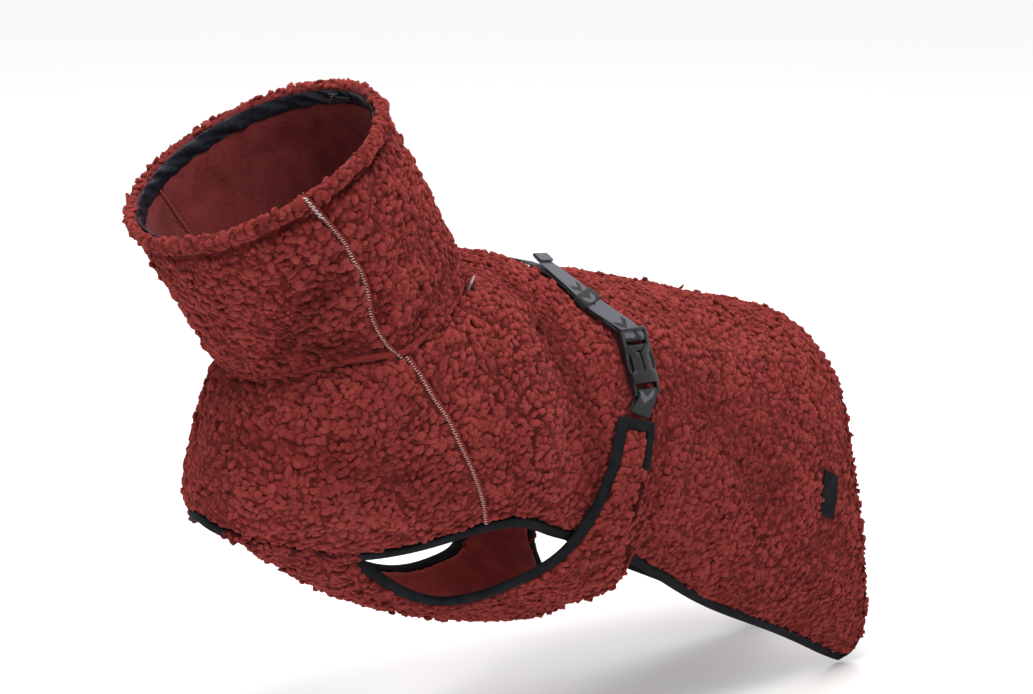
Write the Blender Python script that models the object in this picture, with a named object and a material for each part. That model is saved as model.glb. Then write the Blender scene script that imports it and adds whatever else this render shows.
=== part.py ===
# Dog winter coat of curly fleece, standing in its worn shape with nobody inside.
# Forward is -X, the dog's left side is -Y and +Z is up.  Lengths in the tables are
# millimetres in the dog's own frame: u runs back along the spine, w is height over it.
import math

import bmesh
import bpy
import numpy as np
from mathutils import Vector

MM = 0.001
BACK_PITCH = math.radians(17.0)
FLEECE_WALL = 6.0
SEAM_HALF_GAP = 0.3
GAP = 0.35
COLLAR_LENGTH = 140.0
RIM_WALL = 9.0
WING_LIFT = 7.3
WEBBING_WIDTH = 20.0
WEBBING_THICK = 1.3
BELT_HEIGHT = 4.2
TAIL_STEP = 2.3
BINDING_WIDTH = 8.0
TAIL_BINDING_WIDTH = 3.0
BUCKLE_HEIGHT = 8.6
BAR_DOWN = -19.8
BAR_RADIUS = 1.1
WRAP_RADIUS = 2.3
SLOT_BAR_DOWN = 24.2
LOOP_RADIUS = 2.75

# Where the side seams start, and the station and angle where they meet the hems.
LEFT_SEAM_TOP = 0.062
RIGHT_SEAM_TOP = 0.040
SEAM_END = 0.476
SEAM_END_ANGLE = 111.5

# Rows and columns of the panels, and how they crowd toward the side edges.
SEAM_ROWS = 13
CAPE_ROWS = 21
BACK_COLUMNS = 33
CHEST_COLUMNS = 27
EDGE_CROWDING = 1.15

# Body rings from the neck seam (0) to the tail hem (1): crest point, underline point,
# half width and roundness of each ring.
RING_COLUMNS = ("station", "crest_u", "crest_w", "under_u", "under_w", "half", "round")
RINGS = (
    (0.00, -108, -3, -264, -130, 93, 2.00),
    (0.12, -82, -3, -274, -190, 98, 2.05),
    (0.25, -45, -3, -259, -250, 100, 2.10),
    (0.40, 5, -2, -175, -276, 102, 2.15),
    (0.55, 62, 0.5, -50, -289, 103, 2.20),
    (0.70, 130, 1.5, 90, -300, 102, 2.25),
    (0.82, 198, 2, 205, -318, 100, 2.25),
    (0.92, 262, -5, 312, -332, 93, 2.20),
    (1.00, 316, -42, 398, -346, 80, 2.15),
)

# Collar rings from the neck seam (0) to the rim (1): centre, lean of the axis above
# the spine line, radius in the middle plane, half width and sway to the right.
COLLAR_COLUMNS = ("level", "centre_u", "centre_w", "lean", "radius", "half", "sway")
COLLAR_RINGS = (
    (0.00, -186.5, -68.5, 50, 102, 90, 0),
    (0.25, -211, -44, 47, 102, 90, 0),
    (0.50, -236, -18, 45, 102, 94, 1),
    (0.75, -262, 7, 45, 102, 101, 3),
    (1.00, -288, 32, 45, 103, 108, 5),
)

# Edges of the panels, each as (angle round the body, station) or (station, angle).
NECK_SEAM = ((0, 0.0), (25, 0.02), (42, 0.046), (70, 0.064), (89, 0.062), (100, 0.032),
             (121, 0.004), (145, 0.0), (180, 0.0))
SIDE_SEAM_LEFT = ((0.062, 89.0), (0.155, 85.0), (0.25, 85.2), (0.323, 90.0),
                  (0.375, 94.5), (0.417, 100.0), (0.463, 107.5), (0.476, 111.5))
SIDE_SEAM_RIGHT = ((0.040, 98.0), (0.155, 92.0), (0.25, 91.0), (0.323, 93.5),
                   (0.375, 96.5), (0.417, 101.0), (0.463, 107.8), (0.476, 111.5))
CHEST_HEM = ((111.5, 0.476), (118.5, 0.450), (123.8, 0.435), (130.2, 0.412),
             (137.5, 0.382), (143.5, 0.318), (149.2, 0.285), (159.0, 0.242),
             (169.2, 0.222), (180.0, 0.207))
CAPE_HEM = ((0.476, 111.5), (0.495, 108.2), (0.52, 106.2), (0.552, 107.8),
            (0.62, 108.5), (0.68, 111.5), (0.787, 118.8), (0.87, 121.8),
            (0.943, 124.0), (1.0, 125.0))
TAIL_HEM = ((0, 0.969), (20, 0.957), (40, 0.952), (53, 0.952), (67, 0.959), (83, 0.976),
            (95, 0.994), (107, 1.006), (117, 1.006), (125, 0.991))
COLLAR_SEAM_LEFT = ((0.0, 91.0), (0.03, 94.5), (0.10, 96.8), (0.225, 96.0), (0.345, 93.8),
                    (0.475, 93.0), (0.66, 93.8), (0.805, 97.0), (0.91, 99.2), (1.0, 101.0))
COLLAR_SEAM_RIGHT = ((0.0, 104.0), (0.10, 109.0), (0.30, 114.5), (0.645, 119.0),
                     (0.885, 119.8), (1.0, 121.0))

# Belly panel: the band from wing top to wing top, and the tongue between the legs.
WING_FRONT = ((73, 0.545), (80, 0.556), (92.8, 0.574), (104, 0.582), (112.5, 0.582),
              (122.5, 0.573), (134.2, 0.556), (144.2, 0.542), (152, 0.527), (180, 0.530))
WING_TOP = 73.0
WING_REAR = ((73, 0.606), (88, 0.629), (105, 0.655), (114.5, 0.672), (130, 0.672),
             (145, 0.665), (160, 0.660), (180, 0.658))
TONGUE_EDGE = ((0.30, 147.0), (0.35, 144.5), (0.403, 143.5), (0.44, 145.8),
               (0.473, 148.6), (0.51, 151.0), (0.535, 152.0))
BELLY_LIFT = ((0.15, -19.0), (0.29, -18.0), (0.35, -12.0), (0.43, 0.0), (0.50, 5.0),
              (0.56, 4.0), (0.60, 0.0), (0.68, -14.0))
TAPE_DEGREES = 3.9
CORNER_PASSES = 5
LOOP_FOOT = 72.5
RIGHT_FRONT_SHIFT = 0.062
RIGHT_REAR_SHIFT = 0.05

# The belt's line over the back: (angle round the body, station).
BELT_LINE = ((0, 0.305), (10.2, 0.335), (27.8, 0.405), (33.8, 0.436), (40.0, 0.472),
             (45.0, 0.510), (52.0, 0.544), (60.0, 0.562), (66.0, 0.574), (73.0, 0.580))
BUCKLE_ENDS = ((0.519, 44.2), (0.573, 65.0))

# Colours: base colour, roughness, metallic.
RUST_PILE = ((0.42, 0.06, 0.045), 0.95, 0.0)
BLACK_TAPE = ((0.012, 0.012, 0.014), 0.75, 0.0)
GREY_WEBBING = ((0.10, 0.10, 0.115), 0.7, 0.0)
BLACK_PLASTIC = ((0.02, 0.021, 0.024), 0.45, 0.0)
SHINY_NYLON = ((0.015, 0.016, 0.02), 0.38, 0.0)
DARK_METAL = ((0.16, 0.17, 0.18), 0.35, 0.9)
DULL_PATCH = ((0.07, 0.075, 0.085), 0.7, 0.0)


class Curve:
    # Natural cubic through the stations of a short table.
    def __init__(self, xs, ys):
        self.xs = np.array(xs, float)
        self.ys = np.array(ys, float)
        count = len(self.xs)
        step = np.diff(self.xs)
        slope = np.diff(self.ys) / step
        system = np.eye(count)
        right = np.zeros(count)
        for i in range(1, count - 1):
            system[i, i - 1] = step[i - 1]
            system[i, i] = 2 * (step[i - 1] + step[i])
            system[i, i + 1] = step[i]
            right[i] = 6 * (slope[i] - slope[i - 1])
        self.bend = np.linalg.solve(system, right)

    def __call__(self, x):
        x = np.asarray(x, float)
        i = np.clip(np.searchsorted(self.xs, x) - 1, 0, len(self.xs) - 2)
        h = self.xs[i + 1] - self.xs[i]
        a = (self.xs[i + 1] - x) / h
        b = (x - self.xs[i]) / h
        cubic = (a ** 3 - a) * self.bend[i] + (b ** 3 - b) * self.bend[i + 1]
        return a * self.ys[i] + b * self.ys[i + 1] + cubic * h * h / 6


class Hermite:
    # Monotone-looking curve for edges, where a cubic must not swing past its points.
    def __init__(self, pairs):
        self.xs = np.array([p[0] for p in pairs], float)
        self.ys = np.array([p[1] for p in pairs], float)
        slope = np.diff(self.ys) / np.diff(self.xs)
        inner = np.where(slope[:-1] * slope[1:] > 0,
                         2 * slope[:-1] * slope[1:] / (slope[:-1] + slope[1:] + 1e-12), 0.0)
        self.ms = np.concatenate(([slope[0]], inner, [slope[-1]]))

    def __call__(self, x):
        x = np.clip(np.asarray(x, float), self.xs[0], self.xs[-1])
        i = np.clip(np.searchsorted(self.xs, x) - 1, 0, len(self.xs) - 2)
        h = self.xs[i + 1] - self.xs[i]
        t = (x - self.xs[i]) / h
        value = (2 * t ** 3 - 3 * t ** 2 + 1) * self.ys[i]
        value = value + (t ** 3 - 2 * t ** 2 + t) * h * self.ms[i]
        value = value + (3 * t ** 2 - 2 * t ** 3) * self.ys[i + 1]
        return value + (t ** 3 - t ** 2) * h * self.ms[i + 1]


def columns(names, rows):
    data = np.array(rows, float)
    return {name: Curve(data[:, 0], data[:, i]) for i, name in enumerate(names) if i}


ring = columns(RING_COLUMNS, RINGS)
cuff = columns(COLLAR_COLUMNS, COLLAR_RINGS)
neck_station = Hermite(NECK_SEAM)
seam_left = Hermite(SIDE_SEAM_LEFT)
seam_right = Hermite(SIDE_SEAM_RIGHT)
chest_hem = Hermite(CHEST_HEM)
cape_hem = Hermite(CAPE_HEM)
tail_hem = Hermite(TAIL_HEM)
collar_left = Hermite(COLLAR_SEAM_LEFT)
collar_right = Hermite(COLLAR_SEAM_RIGHT)
wing_front = Hermite(WING_FRONT)
wing_rear = Hermite(WING_REAR)
tongue_edge = Hermite(TONGUE_EDGE)
belly_lift = Hermite(BELLY_LIFT)
belt_station = Hermite(BELT_LINE)


def smooth(x, low, high):
    t = np.clip((np.asarray(x, float) - low) / (high - low), 0.0, 1.0)
    return t * t * (3 - 2 * t)


def hill(x, centre, width):
    return np.exp(-((np.asarray(x, float) - centre) / width) ** 2)


def unit(v):
    return v / np.maximum(np.linalg.norm(v, axis=-1, keepdims=True), 1e-9)


def fold_angle(angle):
    # Angle from the crest, 0 to 180, the same on both sides.
    wrapped = (np.asarray(angle, float) + 180.0) % 360.0 - 180.0
    return np.abs(wrapped)


def body_ring(station, angle):
    turn = np.radians(angle)
    power = 2.0 / ring["round"](station)
    cosine = np.cos(turn)
    sine = np.sin(turn)
    drop = (1 - np.sign(cosine) * np.abs(cosine) ** power) / 2
    side = np.sign(sine) * np.abs(sine) ** power
    u = ring["crest_u"](station) * (1 - drop) + ring["under_u"](station) * drop
    w = ring["crest_w"](station) * (1 - drop) + ring["under_w"](station) * drop
    keel = 1 - 0.28 * np.clip(drop - 0.5, 0, 1)
    y = -ring["half"](station) * side * keel
    return np.stack([u, y, w], -1)


def body_folds(station, angle):
    # The large folds, as heights over the smooth ring surface.
    a = fold_angle(angle)
    signed = (np.asarray(angle, float) + 180.0) % 360.0 - 180.0
    reach = 230 + 260 * np.sin(np.radians(a) / 2) ** 2
    from_neck = (station - neck_station(a)) * reach
    height = -3.5 * np.exp(-(from_neck / 8.0) ** 2)
    height = height + 3.0 * hill(from_neck, 22, 12) * smooth(a, 60, 120)
    crease = hill(from_neck, 16 + 0.10 * (a - 110), 5.0) * hill(a, 108, 22)
    height = height - 4.0 * crease
    belt = (station - belt_station(a)) * (350 + 2.0 * a)
    height = height - 2.6 * np.exp(-(belt / 18.0) ** 4) * (1 - smooth(a, 66, 80))
    height = height + 1.8 * hill(belt, -34, 17) * (1 - smooth(a, 60, 90))
    hollow = hill(station, 0.475, 0.045) * hill(a, 88, 17)
    height = height - 3.5 * hollow
    ridge = hill((station - 0.905 - 0.0009 * (a - 60)) * 900, 0, 13) * hill(a, 86, 24)
    height = height + 2.2 * ridge * np.where(signed > 0, 1.0, 0.7)
    loin = hill(station, 0.66, 0.06) * hill(a, 38, 22) * np.where(signed > 0, 1.0, 0.6)
    return height - 1.8 * loin


def finite_normal(surface, first, second, step_first, step_second):
    along = surface(first + step_first, second) - surface(first - step_first, second)
    across = surface(first, second + step_second) - surface(first, second - step_second)
    return unit(np.cross(along, across))


def body_surface(station, angle):
    station, angle = np.broadcast_arrays(np.asarray(station, float), np.asarray(angle, float))
    normal = -finite_normal(body_ring, station, angle, 0.004, 0.6)
    return body_ring(station, angle) + normal * body_folds(station, angle)[..., None]


def body_normal(station, angle):
    station, angle = np.broadcast_arrays(np.asarray(station, float), np.asarray(angle, float))
    return -finite_normal(body_surface, station, angle, 0.006, 1.2)


def collar_ring(level, angle):
    turn = np.radians(angle)
    lean = np.radians(cuff["lean"](level))
    radius = cuff["radius"](level) * np.cos(turn)
    u = cuff["centre_u"](level) + np.sin(lean) * radius
    w = cuff["centre_w"](level) + np.cos(lean) * radius
    return np.stack([u, cuff["sway"](level) - cuff["half"](level) * np.sin(turn), w], -1)


def collar_blend(level, angle):
    # The lowest ring follows the body's neck seam exactly.
    base = collar_ring(level, angle)
    seam = body_ring(neck_station(fold_angle(angle)), angle) - collar_ring(0 * level, angle)
    share = np.clip(1 - level, 0, 1) ** 2
    return base + seam * share[..., None]


def collar_folds(level, angle):
    a = fold_angle(angle)
    from_neck = level * COLLAR_LENGTH
    height = -3.5 * np.exp(-(from_neck / 8.0) ** 2)
    height = height - 2.6 * hill(level, 0.835, 0.035) + 1.6 * smooth(level, 0.86, 0.93)
    throat = hill(level, 0.20 + 0.0012 * (a - 120), 0.07) * hill(a, 132, 24)
    height = height - 4.2 * throat
    dent = hill(level, 0.24, 0.07) * hill(a, 97, 10)
    return height - 2.8 * dent + 2.0 * hill(level, 0.42, 0.12) * hill(a, 125, 30)


def collar_surface(level, angle):
    level, angle = np.broadcast_arrays(np.asarray(level, float), np.asarray(angle, float))
    normal = finite_normal(collar_blend, level, angle, 0.02, 1.0)
    return collar_blend(level, angle) + normal * collar_folds(level, angle)[..., None]


def collar_normal(level, angle):
    level, angle = np.broadcast_arrays(np.asarray(level, float), np.asarray(angle, float))
    return finite_normal(collar_surface, level, angle, 0.03, 1.5)


def seam_normal(angle):
    # Both sides of the neck seam share this direction, so their cut edges run parallel.
    station = neck_station(fold_angle(angle))
    below = body_normal(station + 0.03, angle)
    above = collar_normal(0 * station + 0.08, angle)
    return unit(below + above)


def body_depth_normal(station, angle):
    a = fold_angle(angle)
    reach = 230 + 260 * np.sin(np.radians(a) / 2) ** 2
    near = np.clip(1 - (station - neck_station(a)) * reach / 18.0, 0, 1)[..., None]
    return unit(body_normal(station, angle) * (1 - near) + seam_normal(angle) * near)


def collar_depth_normal(level, angle):
    near = np.clip(1 - level * COLLAR_LENGTH / 18.0, 0, 1)[..., None]
    return unit(collar_normal(level, angle) * (1 - near) + seam_normal(angle) * near)


def to_world(points):
    # Turns the dog's frame by the pitch and puts the held point at the origin.
    points = np.asarray(points, float)
    u = points[..., 0] - HOLD[0]
    w = points[..., 2] - HOLD[2]
    x = u * math.cos(BACK_PITCH) + w * math.sin(BACK_PITCH)
    z = w * math.cos(BACK_PITCH) - u * math.sin(BACK_PITCH)
    return np.stack([x, points[..., 1], z], -1) * MM


def hold_point():
    station = 0.40
    top = body_surface(station, 0.0)
    return top - body_normal(station, 0.0) * FLEECE_WALL


HOLD = hold_point()


def clear_scene():
    for obj in list(bpy.data.objects):
        bpy.data.objects.remove(obj, do_unlink=True)
    for group in list(bpy.data.collections):
        bpy.data.collections.remove(group)
    parts = bpy.data.collections.new("dog_winter_coat")
    cutters = bpy.data.collections.new("cutters")
    bpy.context.scene.collection.children.link(parts)
    bpy.context.scene.collection.children.link(cutters)
    return parts, cutters


def make_material(name, finish):
    colour, roughness, metallic = finish
    material = bpy.data.materials.new(name)
    material.use_nodes = True
    shader = material.node_tree.nodes["Principled BSDF"]
    shader.inputs["Base Color"].default_value = (*colour, 1.0)
    shader.inputs["Roughness"].default_value = roughness
    shader.inputs["Metallic"].default_value = metallic
    material.diffuse_color = (*colour, 1.0)
    return material


def add_object(name, mesh, finish, group):
    obj = bpy.data.objects.new(name, mesh)
    group.objects.link(obj)
    mesh.materials.append(make_material(name + "_finish", finish))
    return obj


def face_outward(bm):
    bmesh.ops.recalc_face_normals(bm, faces=bm.faces)
    if bm.calc_volume(signed=True) < 0:
        bmesh.ops.reverse_faces(bm, faces=bm.faces)


def closed_mesh(name, points, faces):
    # Builds a body in world metres from triangles and turns its faces outward.
    bm = bmesh.new()
    verts = [bm.verts.new(Vector(p)) for p in points]
    for face in faces:
        bm.faces.new([verts[i] for i in face])
    bmesh.ops.triangulate(bm, faces=bm.faces, quad_method="SHORT_EDGE")
    face_outward(bm)
    mesh = bpy.data.meshes.new(name)
    bm.to_mesh(mesh)
    bm.free()
    return mesh


def wall_solid(name, outer, inner, faces, finish, group):
    # A wall between two matching sheets, closed round its edge.
    count = len(outer)
    used = {}
    for face in faces:
        for i, a in enumerate(face):
            b = face[(i + 1) % len(face)]
            used[(a, b)] = used.get((a, b), 0) + 1
    rim = [(a, b) for a, b in used if (b, a) not in used]
    everything = list(faces)
    everything += [tuple(i + count for i in reversed(face)) for face in faces]
    everything += [(b, a, a + count, b + count) for a, b in rim]
    points = to_world(np.concatenate([outer, inner]))
    return add_object(name, closed_mesh(name, points, everything), finish, group)


def grid_faces(rows, cols, first=0):
    faces = []
    for i in range(rows - 1):
        for j in range(cols - 1):
            a = first + i * cols + j
            faces.append((a, a + 1, a + cols + 1, a + cols))
    return faces


def swept_solid(name, sections, finish, group, closed=False):
    # Sections are matching closed outlines along a path.
    count = len(sections)
    size = len(sections[0])
    faces = []
    for i in range(count if closed else count - 1):
        for j in range(size):
            a = i * size + j
            b = i * size + (j + 1) % size
            c = ((i + 1) % count) * size + (j + 1) % size
            d = ((i + 1) % count) * size + j
            faces.append((a, b, c, d))
    if not closed:
        faces.append(tuple(range(size)))
        faces.append(tuple(range((count - 1) * size, count * size))[::-1])
    points = to_world(np.concatenate(sections))
    return add_object(name, closed_mesh(name, points, faces), finish, group)


def spread(low, high, count):
    return np.linspace(low, high, count)


def side_edges(station):
    # Left and right edges of the back panel at a station, as angles from the crest.
    hem = cape_hem(np.maximum(station, SEAM_END))
    left = np.where(station < SEAM_END, seam_left(station), hem)
    right = np.where(station < SEAM_END, seam_right(station), hem)
    return left, right


def degree_gap(station, angle, distance):
    step = np.linalg.norm(body_ring(station, angle + 0.5) - body_ring(station, angle - 0.5), axis=-1)
    return distance / np.maximum(step, 0.3)


def station_gap(station, angle, distance):
    step = np.linalg.norm(body_ring(station + 0.002, angle) - body_ring(station - 0.002, angle),
                          axis=-1)
    return distance / np.maximum(step / 0.004, 50)


def back_grid():
    # Rows run from the neck seam to the tail hem, columns from left to right.
    seam_rows = spread(0.0, 1.0, SEAM_ROWS)[:-1]
    cape_rows = spread(0.0, 1.0, CAPE_ROWS)
    across = np.sin(spread(-1, 1, BACK_COLUMNS) * EDGE_CROWDING) / math.sin(EDGE_CROWDING)
    rows = []
    for part, share in [(0, v) for v in seam_rows] + [(1, v) for v in cape_rows]:
        row_station = SEAM_END * share if part == 0 else SEAM_END + (1 - SEAM_END) * share
        stations = []
        angles = []
        for c in across:
            side_start = LEFT_SEAM_TOP if c > 0 else RIGHT_SEAM_TOP
            nominal = side_start + (SEAM_END - side_start) * share if part == 0 else row_station
            left, right = side_edges(nominal)
            edge = left if c > 0 else -right
            edge = edge - np.sign(edge) * degree_gap(nominal, edge, SEAM_HALF_GAP)
            angle = abs(c) * edge
            start = neck_station(abs(angle)) + station_gap(0.05, angle, SEAM_HALF_GAP)
            edge_start = side_start
            tail = float(tail_hem(abs(angle)))
            if part == 0:
                mid = start + (SEAM_END - start) * share
                station = mid if abs(c) < 1 else edge_start + (SEAM_END - edge_start) * share
                if share == 0:
                    station = start
            else:
                station = SEAM_END + (tail - SEAM_END) * share
            stations.append(station)
            angles.append(angle)
        rows.append((stations, angles))
    stations = np.array([r[0] for r in rows])
    angles = np.array([r[1] for r in rows])
    return stations, angles


def chest_grid():
    # Rows run from the neck seam down to the chest hem, columns from left to right.
    across = spread(1, -1, CHEST_COLUMNS)
    shares = spread(0.0, 1.0, SEAM_ROWS)
    stations = np.zeros((len(shares), len(across)))
    angles = np.zeros_like(stations)
    for i, share in enumerate(shares):
        for j, c in enumerate(across):
            seam = seam_left if c > 0 else seam_right
            start_seam = LEFT_SEAM_TOP if c > 0 else RIGHT_SEAM_TOP
            seam_station = start_seam + (SEAM_END - start_seam) * share
            edge = float(seam(seam_station))
            edge += float(degree_gap(seam_station, edge, SEAM_HALF_GAP))
            angle = 180 - abs(c) * (180 - edge)
            end_angle = 180 - abs(c) * (180 - SEAM_END_ANGLE)
            start_angle = 180 - abs(c) * (180 - float(seam(start_seam)))
            start = float(neck_station(start_angle)) + float(station_gap(0.05, start_angle,
                                                                         SEAM_HALF_GAP))
            end = float(chest_hem(end_angle))
            if abs(c) == 1:
                start = start_seam + float(station_gap(0.05, start_angle, SEAM_HALF_GAP))
            stations[i, j] = start + (end - start) * share
            angles[i, j] = angle if c > 0 else 360 - angle
    return stations, angles


def panel_from_grid(name, stations, angles, group):
    outer = body_surface(stations, angles)
    depth = body_depth_normal(stations, angles)
    inner = outer - depth * FLEECE_WALL
    rows, cols = stations.shape
    wall_solid(name, outer.reshape(-1, 3), inner.reshape(-1, 3), grid_faces(rows, cols),
               RUST_PILE, group)
    return outer, depth


def belly_rise(station, angle):
    # Height of the belly panel's outer face over the body surface: tucked inside the
    # chest hem in front, hanging free below, and lying on the cape at both wings.
    a = fold_angle(angle)
    edge = 1 - smooth(a, 142, 166)
    low = belly_lift(station - 0.05 * edge)
    low = np.where(station > 0.56, np.minimum(belly_lift(station), 4.0), low)
    wing = 1 - smooth(a, 119, 146)
    return low * (1 - wing) + WING_LIFT * wing


def belly_point(station, angle):
    rise = belly_rise(station, angle)[..., None]
    return body_surface(station, angle) + body_normal(station, angle) * rise


def belly_normal(station, angle):
    station, angle = np.broadcast_arrays(np.asarray(station, float), np.asarray(angle, float))
    return -finite_normal(belly_point, station, angle, 0.008, 1.5)


def belly_layout():
    # Band columns run round the body; the tongue hangs on the middle of the band.
    top = WING_TOP + TAPE_DEGREES
    root = 152 + TAPE_DEGREES
    wing_angles = np.concatenate([spread(top, root, 15)[:-1], spread(root, 360 - root, 9),
                                  spread(360 - root, 360 - top, 15)[1:]])
    fold = np.where(wing_angles > 180, 360 - wing_angles, wing_angles)
    turned = smooth(wing_angles, 190, 222)
    tape = station_gap(0.60, fold, BINDING_WIDTH)
    front = wing_front(fold) + tape + RIGHT_FRONT_SHIFT * turned
    rear = wing_rear(fold) - tape + RIGHT_REAR_SHIFT * turned
    rows = 6
    shares = spread(0, 1, rows)
    band_stations = front[None, :] + (rear - front)[None, :] * shares[:, None]
    band_angles = np.repeat(wing_angles[None, :], rows, axis=0)
    tongue_rows = 13
    middle = slice(14, 23)
    reach = spread(0, 1, tongue_rows)[1:]
    across = spread(-1, 1, 9)
    tongue_stations = []
    tongue_angles = []
    for share in reach:
        tip = 0.535 + (0.30 - 0.535) * share
        half = 180 - TAPE_DEGREES - float(tongue_edge(tip))
        row_angles = 180 + across * half
        front_line = front[middle]
        bow = 0.11 * (1 - across ** 2) * share
        tongue_stations.append(front_line + (0.30 - front_line) * share - bow)
        tongue_angles.append(row_angles)
    tongue_stations = np.array(tongue_stations)
    tongue_angles = np.array(tongue_angles)
    for corner, step, tongue_edge_col in ((middle.start, 1, 0), (middle.stop - 1, -1, -1)):
        round_corner(band_stations, tongue_stations, corner, step, tongue_edge_col)
        round_corner(band_angles, tongue_angles, corner, step, tongue_edge_col)
    return band_stations, band_angles, tongue_stations, tongue_angles, middle


def round_corner(band, tongue, corner, step, edge):
    # Eases the leg opening's low corner, where the band's front edge meets the tongue's side.
    cols = [corner - 3 * step, corner - 2 * step, corner - step, corner]
    line = np.concatenate([band[0, cols], tongue[:3, edge]])
    for _ in range(CORNER_PASSES):
        line[1:-1] = (line[:-2] + 2 * line[1:-1] + line[2:]) / 4
    band[0, cols] = line[:4]
    tongue[:3, edge] = line[4:]


def build_belly(group):
    bs, ba, ts, ta, middle = belly_layout()
    rows, cols = bs.shape
    stations = np.concatenate([bs.ravel(), ts.ravel()])
    angles = np.concatenate([ba.ravel(), ta.ravel()])
    outer = belly_point(stations, angles)
    depth = belly_normal(stations, angles)
    inner = outer - depth * FLEECE_WALL
    faces = grid_faces(rows, cols)
    first = rows * cols
    tongue_cols = ts.shape[1]
    faces += [tuple(reversed(f)) for f in grid_faces(ts.shape[0], tongue_cols, first)]
    for j in range(tongue_cols - 1):
        top = middle.start + j
        faces.append((top + 1, top, first + j, first + j + 1))
    wall_solid("belly_panel", outer, inner, faces, RUST_PILE, group)
    # The bound edge: left tongue side, left wing, rear edge, right wing, right tongue side.
    left_tongue = [first + i * tongue_cols for i in range(ts.shape[0])][::-1]
    left_front = list(range(middle.start, -1, -1))
    left_top = [i * cols for i in range(1, rows)]
    rear = [(rows - 1) * cols + j for j in range(1, cols)]
    right_top = [i * cols + cols - 1 for i in range(rows - 2, -1, -1)]
    right_front = list(range(cols - 2, middle.stop - 2, -1))
    right_tongue = [first + i * tongue_cols + tongue_cols - 1 for i in range(ts.shape[0])]
    order = left_tongue + left_front + left_top + rear + right_top + right_front + right_tongue
    return outer[order], depth[order]


def binding_sections(points, normals, widths, closed, flip):
    # Folded tape beyond a raw edge, set off along the sheet from every edge point.
    count = len(points)
    ahead = np.roll(points, -1, axis=0) - points
    back = points - np.roll(points, 1, axis=0)
    if not closed:
        ahead[-1] = back[-1]
        back[0] = ahead[0]
    side_a = unit(np.cross(unit(ahead), normals)) * flip
    side_b = unit(np.cross(unit(back), normals)) * flip
    side = unit(side_a + side_b)
    stretch = 1 / np.clip(np.sum(side * side_a, -1), 0.72, 1.0)
    sections = []
    for i in range(count):
        width = widths[i]
        profile = ((GAP, -0.6), (width - 1.8, -0.6), (width, -2.3), (width, -3.9),
                   (width - 1.8, -5.6), (GAP, -5.6))
        sections.append(np.array([points[i] + side[i] * d * stretch[i] + normals[i] * h
                                  for d, h in profile]))
    return sections


def build_collar(name, left_edge, right_edge, count, group):
    # A wall between two seams; its rim is rolled over and thicker than the rest.
    levels = np.concatenate([[SEAM_HALF_GAP / COLLAR_LENGTH], spread(0.055, 0.74, 8),
                             [0.79, 0.835, 0.88, 0.94, 0.985]])
    shares = spread(0, 1, count)
    sections = []
    for share in shares:
        angle = np.array([left_edge(v) + (right_edge(v) - left_edge(v)) * share for v in levels])
        face = collar_surface(levels, angle)
        depth = collar_depth_normal(levels, angle)
        top = collar_surface(np.array(1.0), angle[-1])
        top_depth = collar_normal(np.array(0.97), angle[-1])
        wall = FLEECE_WALL + (RIM_WALL - FLEECE_WALL) * smooth(levels, 0.84, 0.93)
        lining = face - depth * wall[:, None]
        crown = [top - top_depth * 1.8, top - top_depth * 5.0, top - top_depth * 7.6]
        keep = [0, 2, 4, 6, 8, 10, 11, 12, 13]
        sections.append(np.concatenate([face, crown, lining[keep][::-1]]))
    return swept_solid(name, sections, RUST_PILE, group)


def edge_minus(curve, sign, shift):
    return lambda level: sign * float(curve(level)) + shift


def build_facing(group):
    # Thin band round the inside of the rim.
    angles = spread(0, 360, 61)[:-1]
    levels = np.array([0.868, 0.92, 0.972])
    sections = []
    for angle in angles:
        face = collar_surface(levels, angle)
        depth = collar_normal(levels, angle)
        wall = FLEECE_WALL + (RIM_WALL - FLEECE_WALL) * smooth(levels, 0.84, 0.93) + GAP
        outer = face - depth * (wall + 0.4)[:, None]
        inner = face - depth * (wall + np.array([1.4, 2.2, 1.6]))[:, None]
        sections.append(np.concatenate([outer, inner[::-1]]))
    return swept_solid("collar_facing", sections, SHINY_NYLON, group, closed=True)


def bar_section(point, across, up, width, thick):
    return np.array([point + across * width / 2 * a + up * thick / 2 * b
                     for a, b in ((-1, -1), (1, -1), (1, 1), (-1, 1))])


def belt_frame(angle, height):
    # Point over the body on the belt's line, with directions down the side, across
    # the webbing and out.
    a = fold_angle(angle)
    station = belt_station(a)
    point = body_surface(station, angle)
    normal = body_normal(station, angle)
    ahead = body_surface(belt_station(fold_angle(angle + 1.0)), angle + 1.0)
    back = body_surface(belt_station(fold_angle(angle - 1.0)), angle - 1.0)
    down = unit(ahead - back)
    across = unit(np.cross(normal, down))
    return point + normal * height, down, across, normal


def buckle_frame():
    ends = []
    for station, angle in BUCKLE_ENDS:
        station = np.array(station)
        ends.append((body_surface(station, angle), body_normal(station, angle)))
    down = unit(ends[1][0] - ends[0][0])
    out = unit(ends[0][1] + ends[1][1])
    across = unit(np.cross(out, down))
    out = unit(np.cross(down, across))
    centre = (ends[0][0] + ends[1][0]) / 2 + out * BUCKLE_HEIGHT
    return centre, down, across, out


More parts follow.
